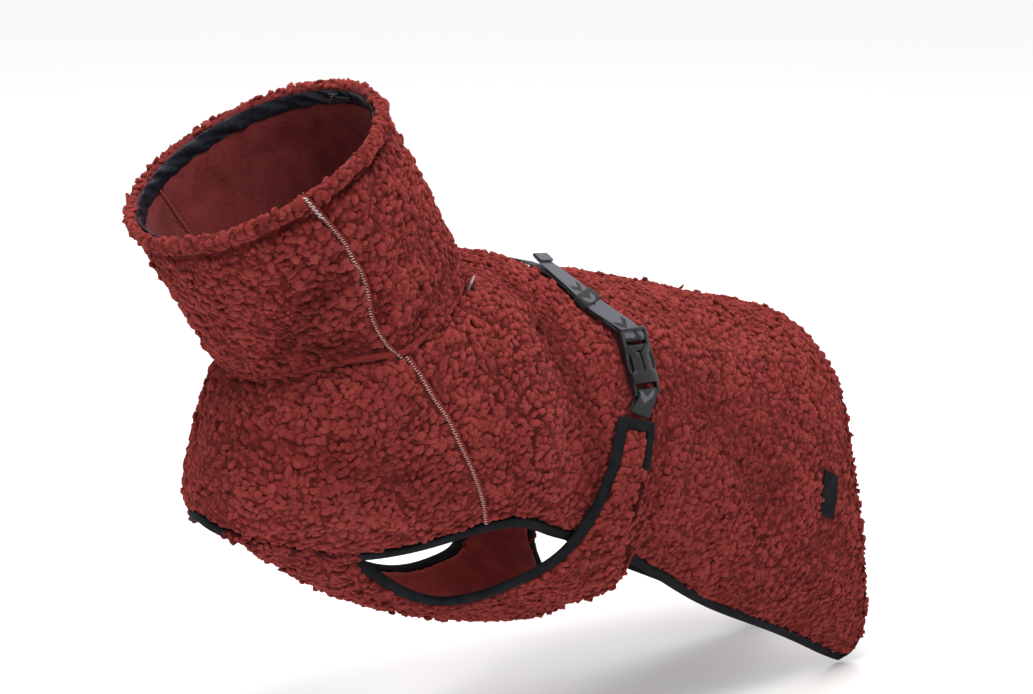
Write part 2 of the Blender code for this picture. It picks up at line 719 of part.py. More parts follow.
def build_belt(group):
    centre, down, across, out = buckle_frame()
    bar = centre + down * BAR_DOWN
    sections = []
    wing_top = 1.0 - WING_TOP
    for angle in spread(wing_top, 33, 28):
        point, _, side, normal = belt_frame(np.array(angle), BELT_HEIGHT)
        if angle < -20:
            station = belt_station(abs(angle)) + RIGHT_REAR_SHIFT * smooth(-angle, 20, 70)
            normal = body_normal(station, np.array(angle))
            point = body_surface(station, np.array(angle)) + normal * BELT_HEIGHT
        sections.append((point, side, normal))
    start = sections[-1]
    enter = bar - out * WRAP_RADIUS - down * 6.0
    for t in (0.3, 0.6, 1.0):
        point = start[0] * (1 - t) + enter * t
        sections.append((point, unit(start[1] * (1 - t) + across * t),
                         unit(start[2] * (1 - t) + out * t)))
    for turn in spread(-90, 90, 9):
        a = math.radians(turn)
        radial = down * math.cos(a) + out * math.sin(a)
        sections.append((bar + radial * WRAP_RADIUS, across, -radial))
    leave = bar + out * WRAP_RADIUS - down * 6.0
    tail_start, _, tail_side, tail_normal = belt_frame(np.array(33.0),
                                                       BELT_HEIGHT + TAIL_STEP)
    for t in (0.0, 0.4, 0.7):
        point = leave * (1 - t) + tail_start * t
        sections.append((point, unit(across * (1 - t) + tail_side * t),
                         -unit(out * (1 - t) + tail_normal * t)))
    for angle in spread(33, 11, 8):
        lift = BELT_HEIGHT + TAIL_STEP + 2.0 * float(smooth(-angle, -19, -9))
        point, _, side, normal = belt_frame(np.array(angle), lift)
        sections.append((point, side, -normal))
    end, end_down, side, normal = belt_frame(np.array(9.5), BELT_HEIGHT + TAIL_STEP + 2.2)
    tip = unit(-end_down * 0.94 + normal * 0.34)
    facing = unit(np.cross(side, tip))
    if np.dot(facing, normal) < 0:
        facing = -facing
    for step in (0.0, 4.0, 8.0):
        sections.append((end + tip * step, side, -facing))
    hinge = end + tip * 9.0 + facing * 1.1
    for turn in (-45, 0, 45):
        a = math.radians(turn)
        radial = tip * math.cos(a) + facing * math.sin(a)
        sections.append((hinge + radial * 1.1, side, radial))
    for step in (9.0, 5.0, 1.0):
        sections.append((end + tip * step + facing * 2.2, side, facing))
    solid = [bar_section(p, s, n, WEBBING_WIDTH, WEBBING_THICK) for p, s, n in sections]
    return swept_solid("belt_strap", solid, GREY_WEBBING, group)


def loop_band(name, centre, along, across, out, half_width, half_height, length, thick, finish,
              group):
    # A flat band closed round an axis, like a keeper.
    corner = 1.0
    outline = []
    for sx, sz in ((1, 1), (-1, 1), (-1, -1), (1, -1)):
        for k in (0, 1, 2):
            a = math.radians(45 * k)
            turn = {(1, 1): a, (-1, 1): a + math.pi / 2, (-1, -1): a + math.pi,
                    (1, -1): a + 1.5 * math.pi}[(sx, sz)]
            outline.append((sx * (half_width - corner) + corner * math.cos(turn),
                            sz * (half_height - corner) + corner * math.sin(turn),
                            math.cos(turn), math.sin(turn)))
    sections = []
    for x, z, nx, nz in outline:
        point = centre + across * x + out * z
        radial = across * nx + out * nz
        sections.append(np.array([point - along * length / 2, point + along * length / 2,
                                  point + along * length / 2 + radial * thick,
                                  point - along * length / 2 + radial * thick]))
    return swept_solid(name, sections, finish, group, closed=True)


def build_keeper(group):
    centre, down, across, out = belt_frame(np.array(30.0), BELT_HEIGHT + TAIL_STEP / 2)
    return loop_band("belt_keeper", centre, down, across, out, WEBBING_WIDTH / 2 + 1.2, 2.7,
                     12.0, 1.0, BLACK_TAPE, group)


def box_object(name, centre, size, bevel, group):
    # A box in a fitting's own directions: across, down, out.
    bm = bmesh.new()
    created = bmesh.ops.create_cube(bm, size=1.0)["verts"]
    for vert in created:
        vert.co = Vector([(centre[k] + vert.co[k] * size[k]) * MM for k in range(3)])
    if bevel > 0:
        bmesh.ops.bevel(bm, geom=list(bm.edges), offset=bevel * MM, offset_type="OFFSET",
                        segments=2, profile=0.5, affect="EDGES", material=-1)
    face_outward(bm)
    mesh = bpy.data.meshes.new(name)
    bm.to_mesh(mesh)
    bm.free()
    obj = bpy.data.objects.new(name, mesh)
    group.objects.link(obj)
    return obj


def placed_vertex(frame, co):
    origin, down, across, out = frame
    local = [c / MM for c in co]
    return Vector(to_world(origin + across * local[0] + down * local[1] + out * local[2]))


def join_and_cut(name, frame, blocks, drills, finish, parts):
    # Unites the first group of bodies, cuts the second one out and sets it in place.
    base = blocks[0]
    for other, kind in [(b, "UNION") for b in blocks[1:]] + [(d, "DIFFERENCE") for d in drills]:
        modifier = base.modifiers.new("cut", "BOOLEAN")
        modifier.operation = kind
        modifier.solver = "EXACT"
        modifier.object = other
    depsgraph = bpy.context.evaluated_depsgraph_get()
    mesh = bpy.data.meshes.new_from_object(base.evaluated_get(depsgraph))
    mesh.name = name
    for obj in blocks + drills:
        bpy.data.objects.remove(obj, do_unlink=True)
    bm = bmesh.new()
    bm.from_mesh(mesh)
    bmesh.ops.remove_doubles(bm, verts=bm.verts, dist=0.00001)
    bmesh.ops.triangulate(bm, faces=[f for f in bm.faces if len(f.verts) > 4])
    for vert in bm.verts:
        vert.co = placed_vertex(frame, vert.co)
    face_outward(bm)
    bm.to_mesh(mesh)
    bm.free()
    mesh.materials.clear()
    return add_object(name, mesh, finish, parts)


def boxes(name, specs, group):
    return [box_object("%s%d" % (name, i), *spec, group) for i, spec in enumerate(specs)]


def build_buckle(parts, cutters):
    frame = buckle_frame()
    # Adjuster half: arms, a thin end beam, a cross body, the webbing's bar and two prongs.
    male_solids = [((0, -11.4, 0), (27.6, 5.2, 6.6), 0.8),
                   ((-12.3, -15.5, 0), (3.2, 22, 6.2), 0.7),
                   ((12.3, -15.5, 0), (3.2, 22, 6.2), 0.7),
                   ((0, -25.3, 0), (25.6, 2.0, 2.0), 0.4),
                   ((-11.7, -1.2, 0), (3.2, 19, 4.6), 0.7),
                   ((11.7, -1.2, 0), (3.2, 19, 4.6), 0.7)]
    male = boxes("male", male_solids, cutters) + [rod_object("bar", BAR_RADIUS, 23.0,
                                                             BAR_DOWN, cutters)]
    join_and_cut("buckle_male", frame, male, [], BLACK_PLASTIC, parts)
    female_solids = [((0, 4.6, 0), (26, 25.4, 8.0), 1.4),
                     ((-11.9, 20.5, 0), (2.4, 11, 4.2), 0.5),
                     ((11.9, 20.5, 0), (2.4, 11, 4.2), 0.5),
                     ((0, SLOT_BAR_DOWN, 0), (24, 2.5, 2.2), 0.4)]
    female_holes = [((-12.6, -2.2, 0), (7.4, 22.4, 14), 0.6),
                    ((12.6, -2.2, 0), (7.4, 22.4, 14), 0.6),
                    ((0, -0.5, 4.0), (2.4, 15.0, 3.6), 0.5)]
    join_and_cut("buckle_female", frame, boxes("female", female_solids, cutters),
                 boxes("female_hole", female_holes, cutters), BLACK_PLASTIC, parts)
    return frame


def rod_object(name, radius, length, down, group):
    # A round rod across the fitting.
    bm = bmesh.new()
    bmesh.ops.create_cone(bm, cap_ends=True, segments=12, radius1=radius * MM,
                          radius2=radius * MM, depth=length * MM)
    for vert in bm.verts:
        vert.co = Vector((vert.co.z, vert.co.x + down * MM, vert.co.y))
    face_outward(bm)
    mesh = bpy.data.meshes.new(name)
    bm.to_mesh(mesh)
    bm.free()
    obj = bpy.data.objects.new(name, mesh)
    group.objects.link(obj)
    return obj


def build_buckle_loop(frame, group):
    # Doubled webbing from the lower slot down to the left wing's bound top.
    origin, down, across, out = frame
    pivot = origin + down * SLOT_BAR_DOWN
    foot, _, foot_side, foot_normal = belt_frame(np.array(LOOP_FOOT), 4.4)
    toward = foot - pivot
    toward = unit(toward - across * np.dot(toward, across))
    rise = unit(np.cross(toward, across))
    if np.dot(rise, out) < 0:
        rise = -rise
    path = []
    for turn in spread(90, 270, 7):
        a = math.radians(turn)
        radial = toward * math.cos(a) + rise * math.sin(a)
        path.append((pivot + radial * LOOP_RADIUS, across, radial))
    lower = []
    for start, step in ((path[0], 0.75), (path[-1], -0.75)):
        leg = [(start[0] + toward * 2.0, across, start[2])]
        for t in (0.5, 1.0):
            point = leg[0][0] * (1 - t) + (foot + foot_normal * step) * t
            facing = start[2] * (1 - t) + foot_normal * np.sign(step) * t
            leg.append((point, unit(across * (1 - t) + foot_side * t), unit(facing)))
        lower.append(leg)
    run = lower[0][::-1] + path + lower[1]
    solid = [bar_section(p, s, n, WEBBING_WIDTH - 0.6, WEBBING_THICK) for p, s, n in run]
    return swept_solid("buckle_loop", solid, GREY_WEBBING, group)


def surface_tile(name, station_range, angle_range, rise, thick, rows, cols, finish, group):
    # A small flat piece lying on the back panel.
    stations, angles = np.meshgrid(spread(*station_range, rows), spread(*angle_range, cols),
                                   indexing="ij")
    base = body_surface(stations, angles)
    normal = body_normal(stations, angles)
    outer = (base + normal * (rise + thick)).reshape(-1, 3)
    inner = (base + normal * rise).reshape(-1, 3)
    return wall_solid(name, outer, inner, grid_faces(rows, cols), finish, group)


def build_label(group):
    # Small folded tape standing in the neck seam.
    angle = np.array(42.5)
    station = neck_station(angle) + 0.012
    base = body_surface(station, angle)
    normal = body_normal(station, angle)
    ahead = body_surface(station, angle + 1.0)
    across = unit(ahead - body_surface(station, angle - 1.0))
    sections = []
    lean = unit(np.cross(across, normal))
    for height, half in ((0.9, 5.5), (4.5, 5.5), (8.5, 5.2)):
        centre = base + normal * height
        sections.append(np.array([centre + across * half * a + lean * 0.8 * b
                                  for a, b in ((-1, -1), (1, -1), (1, 1), (-1, 1))]))
    return swept_solid("loop_label", sections, GREY_WEBBING, group)


def slider_frame():
    angle = np.array(-12.5)
    level = np.array(0.925)
    face = collar_surface(level, angle)
    normal = collar_normal(level, angle)
    wall = RIM_WALL + GAP + 2.2
    along = unit(collar_surface(level, angle + 2.0) - collar_surface(level, angle - 2.0))
    inward = -normal
    axis = unit(np.cross(inward, along))
    return face + inward * (wall + GAP + 0.1), along, axis, inward


def build_slider(parts, cutters):
    # Slider on the rim band, with a bail bar across it for the pull.
    origin, along, axis, inward = slider_frame()
    frame = (origin, along, axis, inward)
    solids = [((0, 0, 1.4), (8.2, 10.5, 2.6), 0.7),
              ((-2.7, 2.8, 4.0), (1.2, 2.6, 4.0), 0.0),
              ((2.7, 2.8, 4.0), (1.2, 2.6, 4.0), 0.0),
              ((0, 2.8, 5.2), (5.6, 1.2, 1.2), 0.0)]
    join_and_cut("zip_slider", frame, boxes("slider", solids, cutters), [], DARK_METAL, parts)
    return frame


def ring_object(name, inner, outer, half, count, group):
    # A short tube round the local X axis.
    bm = bmesh.new()
    loops = []
    for turn in spread(0, 360, count + 1)[:-1]:
        a = math.radians(turn)
        loops.append([bm.verts.new(Vector((x, r * math.cos(a), r * math.sin(a))) * MM)
                      for x, r in ((-half, inner), (half, inner), (half, outer), (-half, outer))])
    for i in range(count):
        for j in range(4):
            bm.faces.new([loops[i][j], loops[i][(j + 1) % 4], loops[(i + 1) % count][(j + 1) % 4],
                          loops[(i + 1) % count][j]])
    face_outward(bm)
    mesh = bpy.data.meshes.new(name)
    bm.to_mesh(mesh)
    bm.free()
    obj = bpy.data.objects.new(name, mesh)
    group.objects.link(obj)
    return obj


def plate_object(name, outline, thick, group):
    # A tapered plate along the local Y axis.
    bm = bmesh.new()
    loops = [[bm.verts.new(Vector((half * a, y, thick / 2 * b)) * MM)
              for a, b in ((-1, -1), (1, -1), (1, 1), (-1, 1))] for y, half in outline]
    for low, high in zip(loops[:-1], loops[1:]):
        for j in range(4):
            bm.faces.new([low[j], low[(j + 1) % 4], high[(j + 1) % 4], high[j]])
    bm.faces.new(loops[0][::-1])
    bm.faces.new(loops[-1])
    face_outward(bm)
    mesh = bpy.data.meshes.new(name)
    bm.to_mesh(mesh)
    bm.free()
    obj = bpy.data.objects.new(name, mesh)
    group.objects.link(obj)
    return obj


def build_pull(frame, parts, cutters):
    # Tapered pull with an eye round the bail bar; its origin lies on the bar's axis.
    origin, along, axis, inward = frame
    pivot = origin + along * 2.8 + inward * 5.2
    slope = math.radians(6)
    lie = unit(along * math.cos(slope) - inward * math.sin(slope))
    rise = unit(inward * math.cos(slope) + along * math.sin(slope))
    eye = ring_object("pull_eye", 1.25, 2.2, 1.55, 16, cutters)
    plate = plate_object("pull_plate", ((1.9, 1.5), (3.2, 2.6), (8.0, 2.3), (15.5, 1.6),
                                        (17.0, 1.1)), 1.3, cutters)
    pull = join_and_cut("zip_pull", (pivot, lie, axis, rise), [plate, eye], [], DARK_METAL, parts)
    place = Vector(to_world(pivot))
    for vert in pull.data.vertices:
        vert.co = vert.co - place
    pull.location = place
    return pull


def build_all():
    parts, cutters = clear_scene()
    cutters.hide_render = True
    back_outer, back_depth = panel_from_grid("back_panel", *back_grid(), parts)
    chest_outer, chest_depth = panel_from_grid("chest_panel", *chest_grid(), parts)
    # Hem tape: chest hem, left cape hem, tail hem, right cape hem.
    cape_first = 12
    rim_points = np.concatenate([chest_outer[-1, ::-1], back_outer[cape_first + 1:, -1],
                                 back_outer[-1, -2::-1], back_outer[-2:cape_first:-1, 0]])
    rim_normals = np.concatenate([chest_depth[-1, ::-1], back_depth[cape_first + 1:, -1],
                                  back_depth[-1, -2::-1], back_depth[-2:cape_first:-1, 0]])
    sides = back_outer.shape[0] - cape_first - 1
    before_tail = chest_outer.shape[1] + sides
    widths = np.full(len(rim_points), BINDING_WIDTH)
    tail_count = back_outer.shape[1] - 2
    widths[before_tail:before_tail + tail_count] = TAIL_BINDING_WIDTH
    widths[[before_tail - 1, before_tail + tail_count]] = (BINDING_WIDTH + TAIL_BINDING_WIDTH) / 2
    swept_solid("hem_binding", binding_sections(rim_points, rim_normals, widths, True, 1.0),
                BLACK_TAPE, parts, closed=True)
    belly_points, belly_normals = build_belly(parts)
    widths = np.full(len(belly_points), BINDING_WIDTH)
    swept_solid("belly_binding",
                binding_sections(belly_points, belly_normals, widths, False, -1.0),
                BLACK_TAPE, parts)
    gap_degrees = 0.16
    build_collar("collar_nape", edge_minus(collar_right, -1, gap_degrees),
                 edge_minus(collar_left, 1, -gap_degrees), 31, parts)
    build_collar("collar_throat", edge_minus(collar_left, 1, gap_degrees),
                 edge_minus(collar_right, -1, 360 - gap_degrees), 25, parts)
    build_facing(parts)
    build_belt(parts)
    build_keeper(parts)
    frame = build_buckle(parts, cutters)
    build_buckle_loop(frame, parts)
    surface_tile("rear_patch", (0.897, 0.918), (75.0, 87.0), 0.4, 1.2, 3, 5, DULL_PATCH, parts)
    build_label(parts)
    slider = build_slider(parts, cutters)
    build_pull(slider, parts, cutters)


build_all()
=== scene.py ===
import math

import bmesh
import bpy
import numpy as np
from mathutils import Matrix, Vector, noise
from mathutils.bvhtree import BVHTree
from mathutils.kdtree import KDTree


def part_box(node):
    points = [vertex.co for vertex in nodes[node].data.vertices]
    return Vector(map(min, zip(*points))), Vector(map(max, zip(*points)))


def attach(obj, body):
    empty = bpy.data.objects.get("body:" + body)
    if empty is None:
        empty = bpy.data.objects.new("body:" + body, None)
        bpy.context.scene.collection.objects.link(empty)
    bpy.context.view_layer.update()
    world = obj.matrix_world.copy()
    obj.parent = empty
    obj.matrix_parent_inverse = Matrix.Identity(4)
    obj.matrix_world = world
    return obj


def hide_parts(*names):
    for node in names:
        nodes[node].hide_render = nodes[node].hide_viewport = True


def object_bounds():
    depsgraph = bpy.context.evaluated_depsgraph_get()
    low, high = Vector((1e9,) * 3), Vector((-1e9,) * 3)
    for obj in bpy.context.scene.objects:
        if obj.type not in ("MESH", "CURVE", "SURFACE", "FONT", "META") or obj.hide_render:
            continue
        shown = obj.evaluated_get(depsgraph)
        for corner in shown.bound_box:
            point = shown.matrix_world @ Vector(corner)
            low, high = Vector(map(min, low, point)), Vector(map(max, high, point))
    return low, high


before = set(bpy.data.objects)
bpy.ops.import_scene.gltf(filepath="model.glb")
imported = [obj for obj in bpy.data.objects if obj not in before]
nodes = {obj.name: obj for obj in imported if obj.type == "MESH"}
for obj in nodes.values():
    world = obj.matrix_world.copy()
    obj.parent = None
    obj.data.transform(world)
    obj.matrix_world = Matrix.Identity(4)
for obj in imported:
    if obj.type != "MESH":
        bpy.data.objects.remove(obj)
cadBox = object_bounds()
mm = 0.001
rng = np.random.default_rng(17)


def addToScene(name, data):
    obj = bpy.data.objects.new(name, data)
    bpy.context.scene.collection.objects.link(obj)
    return obj


def meshObject(name, bm):
    mesh = bpy.data.meshes.new(name)
    bm.to_mesh(mesh)
    bm.free()
    return addToScene(name, mesh)


def newMaterial(name, colour, roughness):
    mat = bpy.data.materials.new(name)
    mat.use_nodes = True
    shader = mat.node_tree.nodes["Principled BSDF"]
    shader.inputs["Base Color"].default_value = (*colour, 1)
    shader.inputs["Roughness"].default_value = roughness
    return mat, mat.node_tree, shader


def addNode(tree, kind, **values):
    made = tree.nodes.new(kind)
    for key, value in values.items():
        if key in made.inputs:
            made.inputs[key].default_value = value
        else:
            setattr(made, key, value)
    return made


def readValue(tree, name):
    return addNode(tree, "ShaderNodeAttribute", attribute_name=name).outputs["Fac"]


def pattern(tree, kind, **values):
    # a noise or cell pattern on the piece's own coordinates
    made = addNode(tree, "ShaderNodeTex" + kind, **values)
    tree.links.new(addNode(tree, "ShaderNodeTexCoord").outputs["Object"], made.inputs["Vector"])
    return made.outputs["Fac" if kind == "Noise" else "Distance"]


def ramp(tree, source, stops):
    made = tree.nodes.new("ShaderNodeValToRGB")
    tree.links.new(source, made.inputs["Fac"])
    marks = made.color_ramp.elements
    while len(marks) < len(stops):
        marks.new(0.5)
    for mark, (place, colour) in zip(marks, stops):
        mark.position = place
        mark.color = (*colour, 1)
    return made.outputs["Color"]


def mixColour(tree, share, first, second, mode="MIX"):
    made = tree.nodes.new("ShaderNodeMix")
    made.data_type = "RGBA"
    made.blend_type = mode
    for value, name in ((share, "Factor"), (first, "A"), (second, "B")):
        spot = [s for s in made.inputs if s.name == name and s.enabled][0]
        if hasattr(value, "is_linked"):
            tree.links.new(value, spot)
        elif name == "Factor":
            spot.default_value = value
        else:
            spot.default_value = (*value, 1)
    return [s for s in made.outputs if s.enabled][0]


def bump(tree, shader, height, strength, distance):
    made = addNode(tree, "ShaderNodeBump", Strength=strength, Distance=distance)
    tree.links.new(height, made.inputs["Height"])
    tree.links.new(made.outputs["Normal"], shader.inputs["Normal"])


# the camera, floor and lights
viewSetup = {"place": (-1.1431, -1.5806, 0.4634), "tilt": 75.0, "turn": -35.0, "lens": 87.12,
             "floorDrop": 0.001, "floorColour": (0.90, 0.90, 0.90),
             "backLight": 1.08, "roomLight": 0.50, "roomSpan": (-0.15, 0.45),
             "topLight": 0.52, "topSpan": (0.35, 1.0), "aim": (-0.03, 0, -0.1),
             "lights": (("keyLight", (-0.50, -0.52, 2.0), (1.1, 0.9), 40.0, (1, 0.985, 0.96)),
                        ("fillLight", (-1.9, -1.3, 0.7), (1.2, 1.2), 3.0, (0.97, 0.98, 1)),
                        ("rimLight", (1.2, 1.2, 1.8), (1.4, 1.0), 12.0, (1, 1, 1)))}


def makeCamera(cfg):
    data = bpy.data.cameras.new("viewCamera")
    data.lens = cfg["lens"]
    data.sensor_width = 36.0
    data.clip_start = 0.05
    cam = addToScene("viewCamera", data)
    cam.location = cfg["place"]
    cam.rotation_euler = (math.radians(cfg["tilt"]), 0, math.radians(cfg["turn"]))
    bpy.context.scene.camera = cam


def areaLight(aim, name, place, size, power, colour):
    data = bpy.data.lights.new(name, "AREA")
    data.shape = "RECTANGLE"
    data.size = size[0]
    data.size_y = size[1]
    data.energy = power
    data.color = colour
    obj = addToScene(name, data)
    obj.location = place
    obj.rotation_euler = (Vector(aim) - Vector(place)).to_track_quat("-Z", "Y").to_euler()


def makeStudio(cfg):
    bm = bmesh.new()
    bmesh.ops.create_grid(bm, x_segments=1, y_segments=1, size=9.0)
    bmesh.ops.translate(bm, verts=bm.verts, vec=(0, 0, cadBox[0].z - cfg["floorDrop"]))
    floor = meshObject("studioFloor", bm)
    floor.data.materials.append(newMaterial("paleFloor", cfg["floorColour"], 0.9)[0])
    world = bpy.data.worlds.new("studioWorld")
    world.use_nodes = True
    tree = world.node_tree
    # white behind the coat, dimmer behind the camera, brighter overhead
    way = addNode(tree, "ShaderNodeTexCoord").outputs["Generated"]
    both = addNode(tree, "ShaderNodeMath", operation="ADD")
    turn = math.radians(cfg["turn"])
    ahead = (-math.sin(turn), math.cos(turn), 0)
    for spot, axis, low, high, span in (
            (0, ahead, cfg["roomLight"], cfg["backLight"], cfg["roomSpan"]),
            (1, (0, 0, 1), 0.0, cfg["topLight"], cfg["topSpan"])):
        dot = addNode(tree, "ShaderNodeVectorMath", operation="DOT_PRODUCT")
        dot.inputs[1].default_value = axis
        tree.links.new(way, dot.inputs[0])
        spread = addNode(tree, "ShaderNodeMapRange", interpolation_type="SMOOTHSTEP")
        for socket, value in zip(("From Min", "From Max", "To Min", "To Max"), (*span, low, high)):
            spread.inputs[socket].default_value = value
        tree.links.new(dot.outputs["Value"], spread.inputs["Value"])
        tree.links.new(spread.outputs["Result"], both.inputs[spot])
    back = tree.nodes["Background"]
    back.inputs["Color"].default_value = (1, 1, 1, 1)
    tree.links.new(both.outputs[0], back.inputs["Strength"])
    bpy.context.scene.world = world
    for light in cfg["lights"]:
        areaLight(cfg["aim"], *light)


makeCamera(viewSetup)
makeStudio(viewSetup)
bpy.context.scene.view_settings.view_transform = "Standard"
print("studio ready")

# curly fleece: loose fibre colour, with painted shade between the curls and painted highlight on their
# tips
pileLook = {"deep": (0.048, 0.0055, 0.0055), "mid": (0.190, 0.0235, 0.0220),
            "light": (0.330, 0.056, 0.050), "fibreScale": 1000.0, "cloudScale": 28.0,
            "sheen": 0.35, "sheenTint": (0.85, 0.20, 0.17), "bump": 0.8}


def pileMaterial(cfg):
    mat, tree, shader = newMaterial("curlyFleece", cfg["mid"], 0.95)
    fibre = pattern(tree, "Noise", Scale=cfg["fibreScale"], Detail=5.0, Roughness=0.65)
    cloud = pattern(tree, "Noise", Scale=cfg["cloudScale"], Detail=3.0)
    # the tint attribute runs from deep (painted shade between curls) through mid to light (painted
    # highlight on curl tips), with the curls' own random tone mixed in
    base = ramp(tree, readValue(tree, "tint"),
                ((0.0, cfg["deep"]), (0.45, cfg["mid"]), (1.0, cfg["light"])))
    fine = ramp(tree, fibre, ((0.3, (0.74, 0.72, 0.72)), (0.7, (1.18, 1.17, 1.16))))
    broad = ramp(tree, cloud, ((0.3, (0.88, 0.88, 0.88)), (0.7, (1.08, 1.08, 1.08))))
    colour = mixColour(tree, 1.0, base, fine, "MULTIPLY")
    colour = mixColour(tree, 1.0, colour, broad, "MULTIPLY")
    tree.links.new(colour, shader.inputs["Base Color"])
    shader.inputs["Sheen Weight"].default_value = cfg["sheen"]
    shader.inputs["Sheen Roughness"].default_value = 0.5
    shader.inputs["Sheen Tint"].default_value = (*cfg["sheenTint"], 1)
    shader.inputs["Specular IOR Level"].default_value = 0.05
    bump(tree, shader, fibre, cfg["bump"], 0.0016)
    return mat


# flat knit on the inside, with pale lint
knitLook = {"deep": (0.105, 0.012, 0.013), "light": (0.17, 0.024, 0.024),
            "lint": (0.42, 0.17, 0.15), "ribScale": 520.0, "cloudScale": 60.0, "lintScale": 900.0}
# painted light: a lighter copy of the same knit, for the belly panel's lining, coloured as if lit
litKnitLook = dict(knitLook, deep=(0.19, 0.016, 0.015), light=(0.30, 0.030, 0.026))


def knitMaterial(name, cfg):
    mat, tree, shader = newMaterial(name, cfg["deep"], 0.85)
    rib = pattern(tree, "Voronoi", Scale=cfg["ribScale"])
    cloud = pattern(tree, "Noise", Scale=cfg["cloudScale"], Detail=6.0, Roughness=0.7)
    lint = pattern(tree, "Noise", Scale=cfg["lintScale"], Detail=6.0, Roughness=0.8)
    base = ramp(tree, cloud, ((0.35, cfg["deep"]), (0.68, cfg["light"])))
    spots = ramp(tree, lint, ((0.56, (0, 0, 0)), (0.80, (0.7, 0.7, 0.7))))
    thin = addNode(tree, "ShaderNodeSeparateColor")
    tree.links.new(spots, thin.inputs["Color"])
    colour = mixColour(tree, thin.outputs["Red"], base, cfg["lint"])
    tree.links.new(colour, shader.inputs["Base Color"])
    shader.inputs["Sheen Weight"].default_value = 0.03
    shader.inputs["Specular IOR Level"].default_value = 0.15
    bump(tree, shader, rib, 0.35, 0.0006)
    return mat


# black woven tape of the bindings; where curls hang over it, it takes the pile's deep colour, the
# painted shade between curls
tapeLook = {"colour": (0.0055, 0.006, 0.0075), "lifted": (0.012, 0.013, 0.016),
            "weaveScale": 1500.0, "fluffScale": 90.0}


def tapeMaterial(name, cfg):
    mat, tree, shader = newMaterial(name, cfg["colour"], 0.8)
    weave = pattern(tree, "Noise", Scale=cfg["weaveScale"], Detail=2.0)
    fluff = pattern(tree, "Noise", Scale=cfg["fluffScale"], Detail=4.0)
    base = ramp(tree, fluff, ((0.35, cfg["colour"]), (0.75, cfg["lifted"])))
    # painted shade: covered stretches take the pile's deep colour, the painted shade between curls
    base = mixColour(tree, readValue(tree, "hidden"), base, pileLook["deep"])
    tree.links.new(base, shader.inputs["Base Color"])
    shader.inputs["Specular IOR Level"].default_value = 0.08
    bump(tree, shader, weave, 0.6, 0.0005)
    return mat


pileMat = pileMaterial(pileLook)
knitMat = knitMaterial("flatKnit", knitLook)
litKnitMat = knitMaterial("paintedLitKnit", litKnitLook)
tapeMat = tapeMaterial("blackTape", tapeLook)
print("fleece, knit and tape materials ready")


# middle line of the hollow, from the tail mouth to the collar's rim
hollowLine = np.array(((0.300, 0, -0.275), (0.227, 0, -0.235), (0.135, 0, -0.185), (0.050, 0, -0.150),
                       (-0.045, 0, -0.122), (-0.115, 0, -0.100), (-0.165, 0, -0.070),
                       (-0.205, 0, -0.010), (-0.235, 0, 0.035), (-0.270, 0, 0.105)))


def nodeCopy(nodeName):
    bm = bmesh.new()
    bm.from_mesh(nodes[nodeName].data)
    bmesh.ops.remove_doubles(bm, verts=bm.verts, dist=0.00001)
    return bm


def cornersAndNormals(bm):
    found = np.array([v.co[:] for v in bm.verts]), np.array([v.normal[:] for v in bm.verts])
    bm.free()
    return found


def dress(mesh, mat):
    # one material all over, shaded smooth
    mesh.materials.clear()
    mesh.materials.append(mat)
    mesh.polygons.foreach_set("use_smooth", np.ones(len(mesh.polygons), bool))


def writeValues(mesh, name, values):
    layer = mesh.attributes.new(name, "FLOAT", "POINT")
    layer.data.foreach_set("value", np.asarray(values, float).ravel())


def unit(rows):
    return rows / np.linalg.norm(rows, axis=1, keepdims=True)


def meshTree(mesh):
    return BVHTree.FromPolygons([v.co for v in mesh.vertices], [f.vertices for f in mesh.polygons])


def nodeTree(nodeName):
    return meshTree(nodes[nodeName].data)


def pointTree(points):
    tree = KDTree(len(points))
    for i, p in enumerate(points):
        tree.insert(p, i)
    tree.balance()
    return tree


def settle(obj):
    # turns the live modifiers into plain mesh
    graph = bpy.context.evaluated_depsgraph_get()
    done = bpy.data.meshes.new_from_object(obj.evaluated_get(graph))
    obj.modifiers.clear()
    old = obj.data
    obj.data = done
    bpy.data.meshes.remove(old)
    return obj


def readVectors(items, name):
    found = np.zeros(len(items) * 3)
    items.foreach_get(name, found)
    return found.reshape(-1, 3)


def coords(mesh):
    return readVectors(mesh.vertices, "co")


def setCoords(mesh, co):
    mesh.vertices.foreach_set("co", np.asarray(co, float).ravel())
    mesh.update()


def vertexNormals(mesh):
    return readVectors(mesh.vertices, "normal")


def relax(mesh, rounds, reach):
    # evens out the facets, moving no point further than reach
    co = coords(mesh)
    start = co.copy()
    edges = np.zeros(len(mesh.edges) * 2, int)
    mesh.edges.foreach_get("vertices", edges)
    a, b = edges.reshape(-1, 2).T
    count = np.bincount(np.concatenate([a, b]), minlength=len(co))[:, None]
    for _ in range(rounds):
        total = np.zeros_like(co)
        for axis in range(3):
            total[:, axis] = (np.bincount(a, co[b, axis], len(co))
                              + np.bincount(b, co[a, axis], len(co)))
        co = co * 0.5 + 0.5 * total / np.maximum(count, 1)
        move = co - start
        size = np.linalg.norm(move, axis=1, keepdims=True)
        co = start + move * np.minimum(1, reach / np.maximum(size, 1e-9))
    setCoords(mesh, co)


def outwardShare(points, normals):
    # +1 where a face looks away from the hollow, -1 where it looks into it
    best = np.full(len(points), 1e9)
    spot = np.zeros_like(points)
    for a, b in zip(hollowLine[:-1], hollowLine[1:]):
        d = b - a
        t = np.clip((points - a) @ d / (d @ d), 0, 1)
        near = a + t[:, None] * d
        gap = np.linalg.norm(points - near, axis=1)
        take = gap < best
        best[take] = gap[take]
        spot[take] = near[take]
    ray = points - spot
    ray /= np.maximum(np.linalg.norm(ray, axis=1, keepdims=True), 1e-9)
    return np.sum(ray * normals, axis=1)


